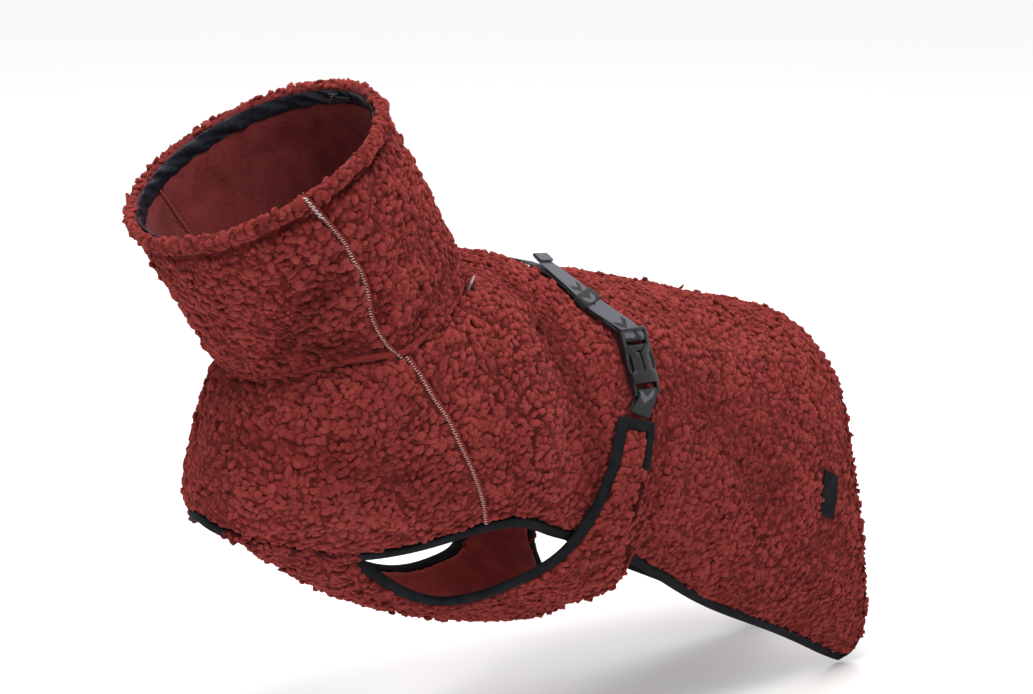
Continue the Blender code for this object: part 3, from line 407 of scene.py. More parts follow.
shellSetup = {"voxel": 3.3 * mm, "rounds": 16, "reach": 1.0 * mm, "lumpSize": 0.0052,
              "lumpDepth": 1.0 * mm, "full": 0.5 * mm, "deepest": 2.3 * mm,
              "rimFold": 17 * mm, "foldWidth": 3.6 * mm, "foldDepth": 6.2 * mm}

# soft folds on the near side: places in mm down each one, its half width and its rise
softFolds = {
    "shoulderRidge": {"line": ((-104, -68, 8), (-90, -81, -18), (-84, -94, -52),
                               (-80, -100, -91), (-79, -99, -131)),
                      "half": 15, "rise": 5.2},
    "elbowTrough": {"line": ((-66, -74, -16), (-53, -89, -46), (-40, -97, -74),
                             (-32, -102, -106), (-36, -102, -138)),
                    "half": 11, "rise": -4.6},
    "crestTrough": {"line": ((-82, -43, 20), (-66, -62, 2), (-52, -74, -18)), "half": 7, "rise": -2.2},
    "throatTrough": {"line": ((-259, -90, 45), (-268, -82, 28), (-276, -68, 10), (-280, -56, -8)),
                     "half": 12, "rise": -4.6},
    "throatRidge": {"line": ((-246, -93, 62), (-240, -92, 40), (-232, -90, 22)),
                    "half": 9, "rise": 2.6},
    "throatDent": {"line": ((-262, -66, -7), (-244, -80, -6), (-226, -88, -9)),
                   "half": 10, "rise": -4.4},
    "seamTrough": {"line": ((-237, -94, 55), (-223, -93, 30), (-209, -93, 6)),
                   "half": 6, "rise": -3.0},
    "neckBackFold": {"line": ((-137, -64, 42), (-160, -80, 33), (-176, -88, 23), (-201, -93, -6)),
                     "half": 8, "rise": -3.2},
    "chestFold": {"line": ((-305, -25, -72), (-289, -62, -82), (-245, -87, -95), (-190, -95, -107)),
                  "half": 13, "rise": -2.2},
    "lowChestRidge": {"line": ((-300, -52, -118), (-256, -74, -135), (-193, -85, -144)),
                      "half": 12, "rise": 2.0},
    "hipRidge": {"line": ((30, -70, -38), (78, -78, -58), (130, -76, -72), (200, -60, -82)),
                 "half": 20, "rise": 3.0},
    "hipHollow": {"line": ((42, -86, -66), (78, -92, -95), (117, -97, -134), (143, -100, -189)),
                  "half": 24, "rise": -2.6},
    "wingTrough": {"line": ((41, -98, -104), (33, -102, -151), (32, -95, -203)),
                   "half": 6, "rise": -2.0},
}
# the hidden side has the same folds, a little shifted and softer
hiddenShift = (7, 0, -4)
hiddenShare = 0.8


def lineGap(points, line):
    best = np.full(len(points), 1e9)
    for a, b in zip(line[:-1], line[1:]):
        d = b - a
        t = np.clip((points - a) @ d / (d @ d), 0, 1)
        best = np.minimum(best, np.linalg.norm(points - a - t[:, None] * d, axis=1))
    return best


def foldRise(points):
    rise = np.zeros(len(points))
    for fold in softFolds.values():
        line = np.array(fold["line"], float)
        other = line * (1, -1, 1) + hiddenShift
        for places, share in ((line, 1.0), (other, hiddenShare)):
            gap = lineGap(points, places * mm) / (fold["half"] * mm)
            rise += fold["rise"] * mm * share * np.exp(-gap * gap)
    return rise


def clothShell(nodeName, pieceName, cfg):
    obj = meshObject(pieceName, nodeCopy(nodeName))
    mod = obj.modifiers.new("grid", "REMESH")
    mod.mode = "VOXEL"
    mod.voxel_size = cfg["voxel"]
    settle(obj)
    relax(obj.data, cfg["rounds"], cfg["reach"])
    return obj


# the collar's rim: how far each point lies under it, round the collar's own axis
collarUp = hollowLine[-1] - hollowLine[-3]
collarUp = collarUp / np.linalg.norm(collarUp)
collarSide = np.array((0.0, 1.0, 0.0))
collarFront = np.cross(collarSide, collarUp)
sectorCount = 72


def collarPlace(points):
    ray = points - hollowLine[-2]
    high = ray @ collarUp
    turn = np.arctan2(ray @ collarSide, ray @ collarFront)
    return high, ((turn / (2 * math.pi) + 0.5) * sectorCount)


def denseCopy(nodeName):
    bm = nodeCopy(nodeName)
    bmesh.ops.triangulate(bm, faces=bm.faces)
    bmesh.ops.subdivide_edges(bm, edges=bm.edges, cuts=3, use_grid_fill=True)
    return bm


def rimHeights():
    tall = np.full(sectorCount, -9.0)
    for name in ("collar_nape", "collar_throat"):
        high, sector = collarPlace(cornersAndNormals(denseCopy(name))[0])
        np.maximum.at(tall, sector.astype(int) % sectorCount, high)
    # evened round the rim
    return sum(np.roll(tall, k) for k in (-2, -1, 0, 1, 2)) / 5


rimTall = rimHeights()


def underRim(points):
    high, sector = collarPlace(points)
    low = np.floor(sector - 0.5).astype(int)
    share = sector - 0.5 - low
    tall = rimTall[low % sectorCount] * (1 - share) + rimTall[(low + 1) % sectorCount] * share
    return tall - high


def lumpShell(obj, cfg, onCollar, lining):
    # sinks the outer face between the curls, folds it in under the collar's rolled rim, and paints
    # shade into the hollows between its lumps
    mesh = obj.data
    co = coords(mesh)
    normals = vertexNormals(mesh)
    share = outwardShare(co, normals)
    rise = np.maximum(foldRise(co), -cfg["deepest"]) * np.clip(share * 2, 0, 1)
    if onCollar:
        off = (underRim(co) - cfg["rimFold"]) / cfg["foldWidth"]
        rise = np.maximum(rise - cfg["foldDepth"] * np.exp(-off * off) * np.clip(share * 2, 0, 1),
                          -cfg["foldDepth"])
    co += normals * (rise + cfg["full"])[:, None]
    setCoords(mesh, co)
    normals = vertexNormals(mesh)
    centres = readVectors(mesh.polygons, "center")
    facing = readVectors(mesh.polygons, "normal")
    outer = outwardShare(centres, facing) > -0.30
    dress(mesh, pileMat)
    mesh.materials.append(lining)
    mesh.polygons.foreach_set("material_index", np.where(outer, 0, 1))
    # painted shade: the shell's colour is darker down in the hollows between its lumps and lighter on
    # their tops
    tint = np.full(len(co), 0.2)
    for i in np.nonzero(share > 0.15)[0]:
        gap = noise.voronoi(Vector(co[i]) / cfg["lumpSize"])[0][0]
        height = max(0.0, 1 - gap * gap * 2.2)
        co[i] -= normals[i] * cfg["lumpDepth"] * (1.15 - height)
        tint[i] = 0.05 + 0.30 * height
    setCoords(mesh, co)
    writeValues(mesh, "tint", tint)
    return centres[outer], facing[outer]


def seamPath(first, second, side, face, step):
    # points down the middle of a side seam, on its outer (face 1) or inner (face -1) surface
    co, normals = cornersAndNormals(nodeCopy(first))
    tree = pointTree(coords(nodes[second].data))
    share = outwardShare(co, normals) * face
    rows = []
    for p, n, k in zip(co, normals, share):
        if p[1] * side < 0.01 or k < 0.25:
            continue
        near, _, gap = tree.find(p)
        if gap < 0.002:
            rows.append((*((p + np.array(near)) / 2), *n))
    rows = np.array(rows)
    rows = rows[np.argsort(-rows[:, 2])]
    places, ups = rows[:, :3], rows[:, 3:]
    run = np.concatenate(([0], np.cumsum(np.linalg.norm(np.diff(places, axis=0), axis=1))))
    even = np.arange(0, run[-1], step)
    path = np.stack([np.interp(even, run, places[:, k]) for k in range(3)], 1)
    up = np.stack([np.interp(even, run, ups[:, k]) for k in range(3)], 1)
    for _ in range(40):
        path[1:-1] = (path[:-2] + path[2:] + 2 * path[1:-1]) / 4
        up[1:-1] = (up[:-2] + up[2:] + 2 * up[1:-1]) / 4
    if face > 0:
        path = path + unit(up) * foldRise(path)[:, None]
    ahead = unit(np.gradient(path, axis=0))
    across = unit(np.cross(up, ahead))
    return path, ahead, across, np.cross(ahead, across)


def loosePieces(pieceName, shape, faces, spots, side, ahead, up, tint, mat):
    # one mesh of many small closed shapes; shape is count x points x 3 in each one's own axes
    count, corners = shape.shape[:2]
    world = shape[..., 0:1] * side[:, None] + shape[..., 1:2] * ahead[:, None]
    world = world + shape[..., 2:3] * up[:, None] + spots[:, None]
    index = (faces[None] + (np.arange(count) * corners)[:, None, None]).reshape(-1)
    mesh = bpy.data.meshes.new(pieceName)
    mesh.vertices.add(count * corners)
    mesh.vertices.foreach_set("co", world.ravel())
    mesh.loops.add(len(index))
    mesh.loops.foreach_set("vertex_index", index)
    mesh.polygons.add(len(index) // 3)
    mesh.polygons.foreach_set("loop_start", np.arange(0, len(index), 3))
    mesh.update(calc_edges=True)
    writeValues(mesh, "tint", tint)
    dress(mesh, mat)
    obj = addToScene(pieceName, mesh)
    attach(obj, "coat")
    print(pieceName, count, "shapes", len(index) // 3, "faces")
    return obj


def smallBall():
    bm = bmesh.new()
    bmesh.ops.create_icosphere(bm, subdivisions=1, radius=1.0)
    bm.verts.index_update()
    ball = np.array([v.co[:] for v in bm.verts])
    faces = np.array([[v.index for v in f.verts] for f in bm.faces])
    bm.free()
    return ball, faces


ball, ballFaces = smallBall()

# one curl of pile, how unevenly it is made, how near it may come to what stays bare, and the painted
# shade and painted highlight in its tint
curlSetup = {"spacing": 4.6 * mm, "scatter": 0.6 * mm, "length": 3.8 * mm, "width": 2.65 * mm,
             "height": 2.2 * mm, "uneven": 0.10, "sizeSpread": 0.13, "boldSpread": 0.19,
             "boldSpan": (0.55, 1.6), "leanSpread": 0.28, "hang": (0.06, 0, -0.18),
             "sink": 1.05 * mm, "probe": 2.2 * mm, "wallReach": 9 * mm, "wallSkin": 0.3 * mm,
             "clusterSize": 11.5 * mm, "clusterEdge": 0.28, "clusterSink": 1.1 * mm,
             "broadScale": 26.0, "brushedScale": 7.0, "brushedSink": 0.25 * mm,
             "rimGroove": 1.9 * mm, "grooveWidth": 3.5 * mm, "grooveShade": 3.2 * mm,
             "foldShade": 80.0, "shade": 0.13, "tipShade": 0.62, "tintSpread": 0.07,
             "softness": 0.85, "seamHalf": 2.5 * mm, "seamMargin": 0.9 * mm,
             "innerSeam": 4.0 * mm, "rimFront": 9 * mm, "facingReach": 3.4 * mm,
             "bareReach": 3.4 * mm, "patchReach": 2.6 * mm, "patchOver": 2.5 * mm,
             "tapeReach": 1.6 * mm}
hardTrees = [nodeTree(name) for name in ("belt_strap", "belt_keeper", "buckle_male",
                                         "buckle_female", "buckle_loop", "loop_label")]
patchTree = nodeTree("rear_patch")
facingTree = nodeTree("collar_facing")
tapeTrees = [nodeTree("hem_binding"), nodeTree("belly_binding")]
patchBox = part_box("rear_patch")

# where the pile hangs over the bindings, in metres along the coat (x) and up (z)
hangSetup = {"tailFrom": 0.240, "tailOver": -0.352, "tailSlope": 0.2924, "tailLine": 0.292,
             "chest": (-0.319, -0.222), "chestUnder": -0.13,
             "wingFrom": -0.004, "wing": (-0.24, -0.138), "cornerFrom": -0.045, "cornerUnder": -0.215}


def tapeCovered(p):
    # whether the pile hangs over this place at the tail, the chest and the wings
    cfg, x, z = hangSetup, p[0], p[2]
    tail = (x > cfg["tailFrom"] and z > cfg["tailOver"]
            and x - cfg["tailSlope"] * z > cfg["tailLine"])
    chest = cfg["chest"][0] < x < cfg["chest"][1] and z < cfg["chestUnder"]
    wing = ((x > cfg["wingFrom"] and cfg["wing"][0] < z < cfg["wing"][1])
            or (x > cfg["cornerFrom"] and z < cfg["cornerUnder"]))
    return tail, chest, wing


def bareSpots(spots, cfg):
    # the pile is clear of the belt, the buckle, the label and the visible tape
    keep = np.ones(len(spots), bool)
    for i, p in enumerate(spots):
        if any(tree.find_nearest(p, cfg["bareReach"])[0] is not None for tree in hardTrees):
            keep[i] = False
        elif patchTree.find_nearest(p, cfg["patchReach"])[0] is not None:
            keep[i] = p[0] < patchBox[0].x + cfg["patchOver"]
        elif any(tree.find_nearest(p, cfg["tapeReach"])[0] is not None for tree in tapeTrees):
            keep[i] = any(tapeCovered(p))
    return keep


def curlPlaces(points, normals, cfg, onCollar):
    # one place in each small cell of space that the outer face passes through
    order = rng.permutation(len(points))
    spots = points[order] + rng.normal(0, cfg["scatter"], (len(points), 3))
    facing = normals[order]
    cells = np.floor(spots / cfg["spacing"]).astype(int)
    _, first = np.unique(cells, axis=0, return_index=True)
    spots, facing = spots[first], facing[first]
    gaps = np.array([seamTree.find(p)[2] for p in spots])
    clear = (gaps > cfg["seamHalf"] + cfg["seamMargin"]) & bareSpots(spots, cfg)
    groove = np.abs(underRim(spots) - shellSetup["rimFold"]) if onCollar else np.ones(len(spots))
    clear &= groove > cfg["rimGroove"]
    clear &= np.array([innerTree.find(p)[2] for p in spots]) > cfg["innerSeam"]
    if onCollar:
        onRim = underRim(spots) < cfg["rimFront"]
        clear &= (outwardShare(spots, facing) > 0.1) | onRim
        thin = np.array([facingTree.find_nearest(p, cfg["facingReach"])[0] is not None
                         for p in spots])
        clear &= ~thin | onRim
    return spots[clear], facing[clear], groove[clear]


def clusterBorders(spots, cfg):
    # 1 on the lines between the clusters of curls, 0 inside them
    border = []
    for p in spots:
        near = noise.voronoi(Vector(p) / cfg["clusterSize"])[0]
        border.append(max(0.0, 1 - (near[1] - near[0]) / cfg["clusterEdge"]))
    return np.array(border)[:, None]


def brushedShare(spots, cfg):
    # soft swirls where the pile lies flatter
    swirl = np.array([noise.noise(Vector((p[0] * 1.3, p[1] * 1.3, p[2] * 0.55)) * cfg["brushedScale"]
                                  + Vector((7, 3, 1))) for p in spots])
    return np.clip((swirl - 0.10) / 0.25, 0, 1)[:, None]


def scatterCurls(pieceName, points, normals, cfg, onCollar, wallTree):
    spots, facing, groove = curlPlaces(points, normals, cfg, onCollar)
    count = len(spots)
    broad = np.array([noise.noise(Vector(p) * cfg["broadScale"]) for p in spots])
    brushed = brushedShare(spots, cfg)
    border = clusterBorders(spots, cfg) * (1 - 0.8 * brushed)
    bold = np.clip(1.0 + 0.30 * broad + rng.normal(0, cfg["boldSpread"], count),
                   *cfg["boldSpan"])[:, None]
    up = unit(facing + rng.normal(0, cfg["leanSpread"], (count, 3)) + np.array(cfg["hang"]))
    side = unit(np.cross(up, rng.normal(0, 1, (count, 3))))
    shape = ball[None] * (1 + rng.normal(0, cfg["uneven"], (count, len(ball), 1)))
    size = np.array((cfg["width"], cfg["length"], cfg["height"])) * bold
    size = size * (1 + rng.normal(0, cfg["sizeSpread"], (count, 3)))
    size *= 1 - 0.35 * np.exp(-(groove[:, None] / cfg["grooveWidth"]) ** 2) * onCollar
    size[:, 2:] *= 1 - 0.35 * brushed
    size[:, :2] *= 1 + 0.12 * brushed
    shape = shape * size[:, None, :]
    sink = cfg["sink"] * (2.0 - bold) + cfg["brushedSink"] * brushed + cfg["clusterSink"] * border
    # no curl reaches through the wall
    for i, (p, n) in enumerate(zip(spots, facing)):
        start = Vector(p - n * cfg["probe"])
        deep = wallTree.ray_cast(start, Vector(-n), cfg["wallReach"])[3]
        if deep is not None:
            room = cfg["probe"] + deep - 0.9 * size[i, 2] - cfg["wallSkin"]
            sink[i] = max(cfg["wallSkin"], min(sink[i], room))
    # painted highlight: each curl is lighter towards its top and darker towards its base
    tips = 0.5 + 0.5 * ball[None, :, 2]
    tint = cfg["shade"] + cfg["tipShade"] * tips ** 0.8
    tint = tint + rng.normal(0, cfg["tintSpread"], (count, 1)) + 0.10 * broad[:, None]
    # where the pile lies flatter the curl takes the even tip colour; painted shade darkens the lines
    # between clusters
    tint = tint * (1 - 0.45 * brushed) + cfg["tipShade"] * 0.45 * brushed - 0.20 * border
    # painted shade in the groove under the collar's rolled rim
    tint = tint - 0.40 * np.exp(-(groove[:, None] / cfg["grooveShade"]) ** 2)
    # painted shade in the soft troughs and painted light on the ridges
    tint = tint + np.clip(foldRise(spots)[:, None] * cfg["foldShade"], -0.36, 0.16)
    obj = loosePieces(pieceName, shape, ballFaces, spots - facing * sink, side, np.cross(side, up),
                      up, np.clip(tint, 0, 1), pileMat)
    softNormals(obj.data, np.repeat(facing, len(ball), axis=0), cfg["softness"])
    return obj


def softNormals(mesh, facing, share):
    # loose fibres shade more like the cloth below than like hard beads
    own = vertexNormals(mesh)
    lift = np.clip(np.sum(own * facing, axis=1, keepdims=True) + 0.25, 0, 1)
    mesh.normals_split_custom_set_from_vertices(unit(own + facing * share * lift))


seamStep = 2.2 * mm
sideSeams = {}
for side, label in ((-1, "Left"), (1, "Right")):
    for face, layer in ((1, "outer"), (-1, "inner")):
        for part, first, second in (("body", "back_panel", "chest_panel"),
                                    ("collar", "collar_nape", "collar_throat")):
            sideSeams[part + label, layer] = seamPath(first, second, side, face, seamStep)
outerSeams, innerSeams = ([path for key, path in sideSeams.items() if key[1] == layer]
                          for layer in ("outer", "inner"))
seamTree = pointTree(np.concatenate([path[0] for path in outerSeams]))
innerTree = pointTree(np.concatenate([path[0] for path in innerSeams]))
print("seams read", [len(path[0]) for path in outerSeams])

# how each fleece panel was cut, where its curls are split in pieces, the tape that its pile
# hangs over and which of tapeCovered's places that is, and what differs in its shell
panelCuts = {
    "back_panel": {"piece": "backFleece", "flat": (0.48, 0.52), "area": 0.232,
                   "split": (-0.02, 0.12), "hem": ("hem_binding", 0)},
    "chest_panel": {"piece": "chestFleece", "flat": (0.28, 0.26), "area": 0.052,
                    "hem": ("hem_binding", 1)},
    "belly_panel": {"piece": "bellyFleece", "flat": (0.40, 0.22), "area": 0.045,
                    "hem": ("belly_binding", 2), "lining": litKnitMat,
                    "shell": {"voxel": 2.3 * mm, "rounds": 8, "full": 1.3 * mm}},
    "collar_nape": {"piece": "napeFleece", "flat": (0.36, 0.17), "area": 0.055},
    "collar_throat": {"piece": "throatFleece", "flat": (0.26, 0.17), "area": 0.034},
}


def hemSpots(tapeNode, which):
    bm = denseCopy(tapeNode)
    places = np.array([f.calc_center_median()[:] for f in bm.faces])
    facing = np.array([f.normal[:] for f in bm.faces])
    bm.free()
    inside = outwardShare(places, facing) > (0.15 if which == 2 else -0.45)
    inside &= np.array([tapeCovered(p)[which] for p in places])
    return places[inside], facing[inside]


neckSetup = {"under": 60 * mm, "reach": 9 * mm, "sink": 0.6 * mm, "steps": (0.15, 0.4, 0.65, 0.9),
             "neighbours": 6, "between": (0.33, 0.5, 0.67)}


def neckSpots(cfg):
    # places bridging the collar's lower edge and the panels under it, with the way they face
    body = np.concatenate([coords(nodes[name].data) for name in ("back_panel", "chest_panel")])
    bodyTree = pointTree(body)
    found = []
    for name in ("collar_nape", "collar_throat"):
        co, normals = cornersAndNormals(nodeCopy(name))
        low = (underRim(co) > cfg["under"]) & (outwardShare(co, normals) > 0.2)
        for p, n in zip(co[low], normals[low]):
            near, _, gap = bodyTree.find(p)
            if gap < cfg["reach"]:
                for share in cfg["steps"]:
                    found.append((*(p + (np.array(near) - p) * share - n * cfg["sink"]), *n))
    found = np.array(found)
    # the edge's points are far apart, so the places between neighbours are filled in
    found = found[np.argsort(collarPlace(found[:, :3])[1])]
    fill = [found]
    for step in range(1, cfg["neighbours"] + 1):
        gaps = np.linalg.norm(found[step:, :3] - found[:-step, :3], axis=1)
        for share in cfg["between"]:
            fill.append((found[step:] * share + found[:-step] * (1 - share))[gaps < cfg["reach"]])
    found = np.concatenate(fill)
    return found[:, :3], unit(found[:, 3:])


def makePanel(nodeName, cut):
    setup = dict(shellSetup, **cut.get("shell", {}))
    shell = clothShell(nodeName, cut["piece"], setup)
    onCollar = nodeName.startswith("collar")
    spots, facing = lumpShell(shell, setup, onCollar, cut.get("lining", knitMat))
    more = []
    if "hem" in cut:
        more.append(hemSpots(*cut["hem"]))
    if nodeName == "collar_nape":
        more.append(neckSpots(neckSetup))
    for moreSpots, moreFacing in more:
        spots = np.concatenate([spots, moreSpots])
        facing = np.concatenate([facing, moreFacing])
    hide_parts(nodeName)
    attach(shell, "coat")
    wallTree = meshTree(shell.data)
    edges = [-math.inf, *cut.get("split", ()), math.inf]
    for number, (low, high) in enumerate(zip(edges[:-1], edges[1:])):
        part = (spots[:, 0] >= low) & (spots[:, 0] < high)
        scatterCurls(cut["piece"] + "Curls%d" % number,
                                  np.repeat(spots[part], 2, axis=0),
                                  np.repeat(facing[part], 2, axis=0),
                                  curlSetup, onCollar, wallTree)
    print(cut["piece"], "done", len(shell.data.polygons), "faces")


for nodeName, cut in panelCuts.items():
    makePanel(nodeName, cut)

# threads of the side seams: outside pale, white at the rim, and orange inside
threadSetup = {"pale": (0.66, 0.47, 0.43), "white": (0.70, 0.68, 0.66), "orange": (0.42, 0.12, 0.035),
               "thick": 0.40 * mm, "collarHalf": 1.9 * mm, "bodyHalf": 1.7 * mm, "lift": 1.25 * mm,
               "slant": 0.2, "wander": 0.08 * mm, "rimLength": 26 * mm,
               "innerApart": 1.7 * mm, "innerHalf": 1.1 * mm, "innerLift": 0.15 * mm, "innerSlant": 0.8}


def threadMaterial(name, colour):
    mat, tree, shader = newMaterial(name, colour, 0.6)
    dark = tuple(c * 0.55 for c in colour)
    base = ramp(tree, readValue(tree, "tint"), ((0.0, dark), (1.0, colour)))
    tree.links.new(base, shader.inputs["Base Color"])
    shader.inputs["Sheen Weight"].default_value = 0.3
    return mat


def rowOfStitches(path, offset, half, lift, slant):
    # frames and sizes of one row of short stitches laid across or along a seam
    places, ahead, across, up = path
    count = len(places)
    turn = np.where(np.arange(count) % 2 == 0, slant, -slant)[:, None]
    along = across * np.cos(turn) + ahead * np.sin(turn)
    wander = rng.normal(0, threadSetup["wander"], (count, 1))
    spots = places + across * offset + up * lift + across * wander
    return spots, np.cross(along, up), along, up, np.full(count, half)


def sewSeam(pieceName, rows, thick, mat):
    spots, side, ahead, up, half = (np.concatenate([row[k] for row in rows]) for k in range(5))
    count = len(spots)
    shape = np.repeat(ball[None], count, axis=0).copy()
    shape[..., 0] *= thick
    shape[..., 1] *= half[:, None]
    shape[..., 2] *= thick
    tint = np.clip(0.75 + rng.normal(0, 0.2, (count, 1)) + np.zeros((1, len(ball))), 0, 1)
    loosePieces(pieceName, shape, ballFaces, spots, side, ahead, up, tint, mat)


paleThread = threadMaterial("paleThread", threadSetup["pale"])
whiteThread = threadMaterial("whiteThread", threadSetup["white"])
orangeThread = threadMaterial("orangeThread", threadSetup["orange"])


def sewSide(label, cfg):
    # the outer side seam, whiter and wider at the rim, and a double row of zigzag inside
    collarSeam = sideSeams["collar" + label, "outer"]
    top = int(cfg["rimLength"] / seamStep)
    wide = tuple(part[:top] for part in collarSeam)
    thin = tuple(part[top:] for part in collarSeam)
    body = sideSeams["body" + label, "outer"]
    rows = [rowOfStitches(wide, 0, cfg["collarHalf"] * 1.3, cfg["lift"] * 1.5, cfg["slant"])]
    sewSeam("rimStitches" + label, rows, cfg["thick"] * 1.2, whiteThread)
    rows = [rowOfStitches(thin, 0, cfg["collarHalf"], cfg["lift"], cfg["slant"]),
            rowOfStitches(body, 0, cfg["bodyHalf"], cfg["lift"], cfg["slant"])]
    sewSeam("sideStitches" + label, rows, cfg["thick"], paleThread)
    rows = [rowOfStitches(sideSeams[part + label, "inner"], offset, cfg["innerHalf"],
                          cfg["innerLift"], cfg["innerSlant"])
            for offset in (-cfg["innerApart"], cfg["innerApart"]) for part in ("collar", "body")]
    sewSeam("innerStitches" + label, rows, cfg["thick"], orangeThread)


for label in ("Left", "Right"):
    sewSide(label, threadSetup)


def seamBase(pieceName, paths, half, rise, mat):
    # a low ridge of pile under the stitches, closing the joint between the panels
    bm = bmesh.new()
    for places, ahead, across, up in paths:
        rings = []
        for p, a, c, u in zip(places[::2], ahead[::2], across[::2], up[::2]):
            ring = []
            for turn in np.linspace(0, 2 * math.pi, 8, endpoint=False):
                point = p + c * half * math.cos(turn) + u * (rise * math.sin(turn) + 0.1 * mm)
                ring.append(bm.verts.new(point))
            rings.append([bm.edges.new((ring[k - 1], ring[k])) for k in range(8)])
        for one, two in zip(rings[:-1], rings[1:]):
            bmesh.ops.bridge_loops(bm, edges=one + two)
        bmesh.ops.holes_fill(bm, edges=rings[0] + rings[-1])
    bmesh.ops.recalc_face_normals(bm, faces=bm.faces)
    obj = meshObject(pieceName, bm)
    dress(obj.data, mat)
    writeValues(obj.data, "tint", np.full(len(obj.data.vertices), 0.45))
    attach(obj, "coat")


def neckRing(sink):
    # a seam path round the joint under the collar, laid this deep in the pile
    places, facing = neckSpots(neckSetup)
    _, sector = collarPlace(places)
    ring = []
    for k in range(sectorCount):
        near = np.abs((sector - k + sectorCount / 2) % sectorCount - sectorCount / 2) < 1.0
        if near.any():
            ring.append(np.concatenate([places[near].mean(0), facing[near].mean(0)]))
    ring = np.repeat(np.array(ring + ring[:2]), 2, axis=0)
    ahead = unit(np.gradient(ring[:, :3], axis=0) + 1e-9)
    up = unit(ring[:, 3:])
    return ring[:, :3] - up * sink * mm, ahead, np.cross(ahead, up), up


seamBase("sideSeamFelt", outerSeams, 2.6 * mm, 0.8 * mm, pileMat)
seamBase("neckFelt", [neckRing(2.7)], 4.6 * mm, 2.5 * mm, pileMat)
seamBase("innerNeckFelt", [neckRing(5.8)], 4.4 * mm, 0.6 * mm, knitMat)
seamBase("innerSeamFelt", innerSeams, 2.4 * mm, 0.3 * mm, knitMat)
print("seams sewn")


def smoothCopy(nodeName, pieceName, levels, mat, crease=0.0):
    # folded tape or webbing, rounded from its own solid
    bm = nodeCopy(nodeName)
    bmesh.ops.join_triangles(bm, faces=bm.faces, angle_face_threshold=0.9, angle_shape_threshold=1.2)
    if crease:
        layer = bm.edges.layers.float.new("crease_edge")
        for edge in bm.edges:
            if len(edge.link_faces) == 2 and edge.calc_face_angle(0) > 0.8:
                edge[layer] = crease
    obj = meshObject(pieceName, bm)
    mod = obj.modifiers.new("round", "SUBSURF")
    mod.levels = levels
    mod.render_levels = levels
    settle(obj)
    dress(obj.data, mat)
    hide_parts(nodeName)
    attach(obj, "coat")
    return obj


def makeTape(tapeNode, tapeName, stretches, full=0.45):
    # a binding, a little full, marked where curls hang over its outer face
    tape = smoothCopy(tapeNode, tapeName, 2, tapeMat, 0.7)
    co, normals = coords(tape.data), vertexNormals(tape.data)
    setCoords(tape.data, co + normals * full * mm)
    hidden = np.array([any(tapeCovered(p)[k] for k in stretches) for p in co])
    hidden &= outwardShare(co, normals) > -0.1
    writeValues(tape.data, "hidden", hidden)


makeTape("hem_binding", "hemTape", (0, 1))
makeTape("belly_binding", "bellyTape", (2,))
print("bindings done")

# nylon band inside the rim, gathered by its stitching
nylonLook = {"colour": (0.0045, 0.005, 0.009), "lifted": (0.012, 0.014, 0.023),
             "crinkleScale": 160.0, "pucker": 2.3 * mm, "puckersAround": 62,
             "puckerDown": 130, "puckerTurn": 70}


def nylonMaterial(cfg):
    mat, tree, shader = newMaterial("shinyNylon", cfg["colour"], 0.42)
    crinkle = pattern(tree, "Noise", Scale=cfg["crinkleScale"], Detail=4.0, Distortion=1.2)
    base = ramp(tree, crinkle, ((0.35, cfg["colour"]), (0.75, cfg["lifted"])))
    tree.links.new(base, shader.inputs["Base Color"])
    shader.inputs["Specular IOR Level"].default_value = 0.2
    shader.inputs["Coat Weight"].default_value = 0.05
    shader.inputs["Coat Roughness"].default_value = 0.3
    bump(tree, shader, crinkle, 0.55, 0.0012)
    return mat


def gatherBand(cfg):
    band = smoothCopy("collar_facing", "nylonFacing", 2, nylonMaterial(cfg))
    co, normals = coords(band.data), vertexNormals(band.data)
    _, sector = collarPlace(co)
    turn = sector / sectorCount
    for i in np.nonzero(outwardShare(co, normals) < -0.2)[0]:
        low = underRim(co[i:i + 1])[0]
        way = Vector((turn[i] * cfg["puckersAround"] + low * cfg["puckerDown"],
                      low * cfg["puckerTurn"], 3.0))
        co[i] += normals[i] * cfg["pucker"] * noise.noise(way)
    setCoords(band.data, co)


gatherBand(nylonLook)
print("nylon band done")

# belt, keeper and loop: woven webbing with a plain chevron, its sizes in mm over the strap
webbingLook = {"black": (0.009, 0.009, 0.011), "grey": (0.086, 0.087, 0.107), "period": 15.0,
               "stroke": 0.36, "lean": 0.9, "middle": 6.4, "skip": 0.66, "pitch": 0.9,
               "greyHeight": 4.9 * mm, "band": 3.0}


def webbingMaterial(cfg):
    mat, tree, shader = newMaterial("wovenWebbing", cfg["black"], 0.75)
    run, across, ground = (readValue(tree, name) for name in ("run", "across", "ground"))

    def worked(kind, a, b=0.0):
        made = addNode(tree, "ShaderNodeMath", operation=kind)
        for value, spot in ((a, made.inputs[0]), (b, made.inputs[1])):
            if hasattr(value, "is_linked"):
                tree.links.new(value, spot)
            else:
                spot.default_value = value
        return made.outputs[0]

    size = worked("ABSOLUTE", across)
    place = worked("ADD", run, worked("MULTIPLY", size, cfg["lean"]))
    phase = worked("FRACT", worked("DIVIDE", place, cfg["period"]))
    stroke = worked("LESS_THAN", phase, cfg["stroke"])
    middle = worked("LESS_THAN", size, cfg["middle"])
    group = worked("FRACT", worked("DIVIDE", place, cfg["period"] * 3))
    motif = worked("MULTIPLY", worked("MULTIPLY", stroke, middle),
                   worked("LESS_THAN", group, cfg["skip"]))
    swap = worked("ABSOLUTE", worked("SUBTRACT", motif, ground))
    base = mixColour(tree, swap, cfg["black"], cfg["grey"])
    tree.links.new(base, shader.inputs["Base Color"])
    ribs = worked("SINE", worked("MULTIPLY", run, 2 * math.pi / cfg["pitch"]))
    warp = worked("SINE", worked("MULTIPLY", across, 2 * math.pi / (cfg["pitch"] * 0.8)))
    bump(tree, shader, worked("MULTIPLY", ribs, warp), 0.35, 0.0003)
    return mat


webbingMat = webbingMaterial(webbingLook)
backTree = nodeTree("back_panel")


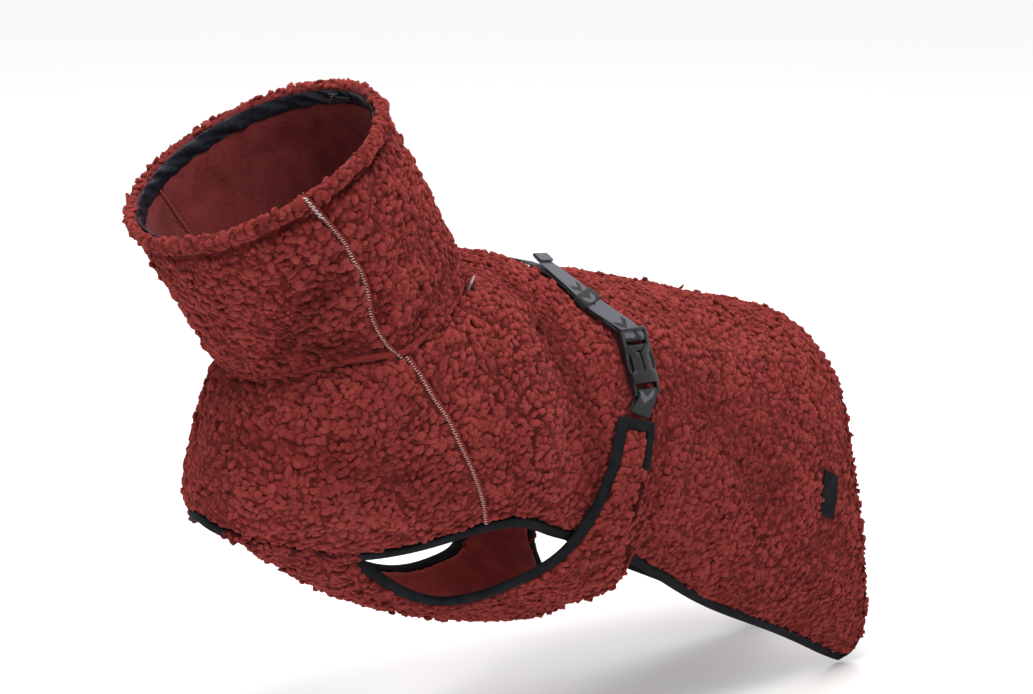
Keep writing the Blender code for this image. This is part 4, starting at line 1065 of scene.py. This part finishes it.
def webbing(nodeName, pieceName, greyWhere, start, end, band=webbingLook["band"]):
    # run is the way along the strap and across the way over it, both in mm
    obj = smoothCopy(nodeName, pieceName, 2, webbingMat, 0.75)
    co, normals = coords(obj.data), vertexNormals(obj.data)
    line = np.array(end) - np.array(start)
    line /= np.linalg.norm(line)
    out = co.mean(0) - hollowLine[3]
    cross = np.cross(line, out / np.linalg.norm(out))
    cross /= np.linalg.norm(cross)
    run = (co - np.array(start)) @ line * 1000
    across = np.zeros(len(co))
    for low in np.arange(run.min(), run.max(), band):
        near = np.abs(run - low) < 2 * band
        here = (run >= low) & (run < low + band)
        if near.any():
            across[here] = ((co[here] - co[near].mean(0)) @ cross) * 1000
    for name, values in (("run", run), ("across", across), ("ground", greyWhere(co, normals))):
        writeValues(obj.data, name, values)


def strapGround(co, normals):
    # the belt's upper layer, on the near side, has the grey ground
    found = [backTree.find_nearest(p) for p in co]
    height = np.array([(Vector(p) - near[0]).dot(near[1]) for p, near in zip(co, found)])
    top = (height > webbingLook["greyHeight"]) & (co[:, 1] < -0.005)
    return top & (outwardShare(co, normals) > -0.2)


def plainGround(co, normals):
    return np.zeros(len(co))


beltRun = ((-0.030, -0.010, 0.020), (0.018, -0.085, -0.038))
loopRun = ((0.018, -0.098, -0.065), (0.016, -0.104, -0.095))
webbing("belt_strap", "backBelt", strapGround, *beltRun)
webbing("belt_keeper", "beltKeeper", plainGround, *beltRun)
webbing("buckle_loop", "buckleLoop", plainGround, *loopRun)
print("webbing done")


def plasticMaterial(name, colour, roughness):
    mat, tree, shader = newMaterial(name, colour, roughness)
    bump(tree, shader, pattern(tree, "Noise", Scale=1400.0), 0.12, 0.0002)
    return mat


buckleMat = plasticMaterial("blackPlastic", (0.009, 0.009, 0.011), 0.3)

# buckle: softened halves, and a domed cover with curved shoulders over the lower one, in mm
buckleSetup = {"round": 0.45, "reach": 26.0, "top": -14.6, "bottom": 17.0,
               "waist": 9.6, "hip": 13.0, "hipFrom": 6.0, "hipOver": 4.5,
               "armOut": 2.6, "armFrom": -6.5, "armOver": 4.0,
               "slotHalf": 0.8, "slotEnd": 7.0, "veeFrom": -2.0, "vee": 7.6, "veePower": 1.7,
               "shoulder": 3.4, "crown": 5.3, "fall": 1.7, "lipFrom": 0.9, "lip": 0.7, "inset": 1.3,
               "wall": 1.6, "rows": 40, "cols": 10,
               "prong": 1.25, "prongOut": 13.6, "prongBow": 4.6, "prongHalf": 10.5,
               "prongTurn": 0.95, "prongDown": 0.2, "prongHigh": 1.6,
               "bar": 1.25, "barDown": -26.4, "barHalf": 12.6, "barOver": 0.7, "barBend": 1.2}


def buckleFrame():
    # origin and axes (over the strap, down it, and out) of the fastened buckle
    male, female = coords(nodes["buckle_male"].data), coords(nodes["buckle_female"].data)
    both = np.concatenate([male, female])
    down = female.mean(0) - male.mean(0)
    down /= np.linalg.norm(down)
    spread = both - both.mean(0)
    _, _, axes = np.linalg.svd(spread - np.outer(spread @ down, down), full_matrices=False)
    over = axes[0] - down * (axes[0] @ down)
    over /= np.linalg.norm(over)
    out = np.cross(over, down)
    if out @ (both.mean(0) - hollowLine[3]) < 0:
        over, out = -over, -out
    ends = [(female @ axis).min() + (female @ axis).max() for axis in (over, out)]
    origin = over * ends[0] / 2 + out * ends[1] / 2
    return origin + down * ((female @ down).max() - buckleSetup["reach"] * mm), over, down, out


def hardCopy(nodeName, pieceName, mat):
    # the node's own form with its edges rounded
    bm = nodeCopy(nodeName)
    bmesh.ops.dissolve_limit(bm, angle_limit=0.03, verts=bm.verts, edges=bm.edges)
    sharp = [e for e in bm.edges if len(e.link_faces) == 2 and e.calc_face_angle(0) > 0.6]
    bmesh.ops.bevel(bm, geom=sharp, offset=buckleSetup["round"] * mm, offset_type="OFFSET", segments=2,
                    profile=0.5, affect="EDGES", clamp_overlap=True, material=-1)
    bmesh.ops.recalc_face_normals(bm, faces=bm.faces)
    obj = meshObject(pieceName, bm)
    dress(obj.data, mat)
    obj.data.set_sharp_from_angle(angle=math.radians(50))
    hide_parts(nodeName)
    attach(obj, "coat")
    return obj


def tube(bm, centres, first, second, radius):
    # a capped bar through the centres, its section spanned by two directions
    rings = []
    for centre in centres:
        ring = bmesh.ops.create_circle(bm, cap_ends=False, segments=10, radius=radius)["verts"]
        for vert in ring:
            vert.co = Vector(centre) + Vector(first) * vert.co.x + Vector(second) * vert.co.y
        rings.append(list(dict.fromkeys(e for v in ring for e in v.link_edges)))
    for one, two in zip(rings[:-1], rings[1:]):
        bmesh.ops.bridge_loops(bm, edges=one + two)
    bmesh.ops.holes_fill(bm, edges=rings[0] + rings[-1])


def coverPoint(share, way, cfg):
    # one half of the cover: share runs from the slot out to the edge, way from top to bottom
    d = cfg["top"] + (cfg["bottom"] - cfg["top"]) * way
    hips = min(1.0, max(0.0, (d - cfg["hipFrom"]) / cfg["hipOver"]))
    outer = cfg["waist"] + (cfg["hip"] - cfg["waist"]) * hips * hips * (3 - 2 * hips)
    outer += cfg["armOut"] * min(1.0, max(0.0, (cfg["armFrom"] - d) / cfg["armOver"]))
    rise = max(0.0, (cfg["veeFrom"] - d) / (cfg["veeFrom"] - cfg["top"]))
    slot = cfg["slotHalf"] + cfg["vee"] * rise ** cfg["veePower"]
    inner = slot if d < cfg["slotEnd"] else 0.0
    # round shoulders at the top, and a lip that falls away at every outer edge
    shoulder = rise ** 2 * cfg["shoulder"] * (2 * share - 1) ** 2
    fall = (cfg["fall"] * share ** 3 + cfg["lip"] * max(0.0, way - cfg["lipFrom"]) * 10
            + cfg["inset"] * rise * (1 - share) ** 3)
    return inner + (outer - inner) * share, d + shoulder, cfg["crown"] - fall


def buckleCover(cfg, mat):
    origin, over, down, out = buckleFrame()

    def place(a, d, h):
        return Vector(origin + (over * a + down * d + out * h) * mm)

    bm = bmesh.new()
    bmesh.ops.create_grid(bm, x_segments=cfg["cols"], y_segments=cfg["rows"], size=0.5)
    for vert in bm.verts:
        vert.co = coverPoint(vert.co.x + 0.5, vert.co.y + 0.5, cfg)
    bmesh.ops.solidify(bm, geom=bm.faces[:], thickness=cfg["wall"])
    whole = bm.verts[:] + bm.edges[:] + bm.faces[:]
    bmesh.ops.mirror(bm, geom=whole, axis="X", merge_dist=0.01)
    # the two prongs that show in the side windows, and the bar that holds the belt down
    bow, half = cfg["prongBow"], cfg["barHalf"]
    for sign in (-1, 1):
        turns = np.linspace(-cfg["prongTurn"], cfg["prongTurn"], 13)
        tube(bm, [(sign * (cfg["prongOut"] - bow + bow * math.cos(t)),
                   cfg["prongDown"] + cfg["prongHalf"] * math.sin(t), cfg["prongHigh"])
                  for t in turns], (1, 0, 0), (0, 0, 1.5), cfg["prong"])
    hit = nodeTree("belt_strap").ray_cast(place(0, cfg["barDown"], 30), Vector(-out))[0]
    high = (np.array(hit) - origin) @ out / mm + cfg["barOver"]
    tube(bm, [(a, cfg["barDown"], high - cfg["barBend"] * abs(a / half) ** 5)
              for a in np.linspace(-half, half, 15)], (0, 1.1, 0), (0, 0, 0.9), cfg["bar"])
    for vert in bm.verts:
        vert.co = place(*vert.co)
    bmesh.ops.recalc_face_normals(bm, faces=bm.faces)
    obj = meshObject("buckleCover", bm)
    dress(obj.data, mat)
    obj.data.set_sharp_from_angle(angle=math.radians(42))
    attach(obj, "coat")


hardCopy("buckle_male", "buckleUpper", buckleMat)
hardCopy("buckle_female", "buckleLower", buckleMat)
buckleCover(buckleSetup, buckleMat)
print("buckle done")

# what keeps its CAD shape: label, patch, slider and pull
labelMat, _, _ = newMaterial("paleLabel", (0.20, 0.20, 0.21), 0.8)
metalMat = plasticMaterial("darkMetal", (0.035, 0.036, 0.042), 0.35)
metalMat.node_tree.nodes["Principled BSDF"].inputs["Metallic"].default_value = 0.8
hardLooks = {"zip_pull": metalMat, "zip_slider": metalMat, "loop_label": labelMat}
for nodeName, node in nodes.items():
    if not node.hide_render:
        for place in node.material_slots:
            place.material = hardLooks.get(nodeName, tapeMat)
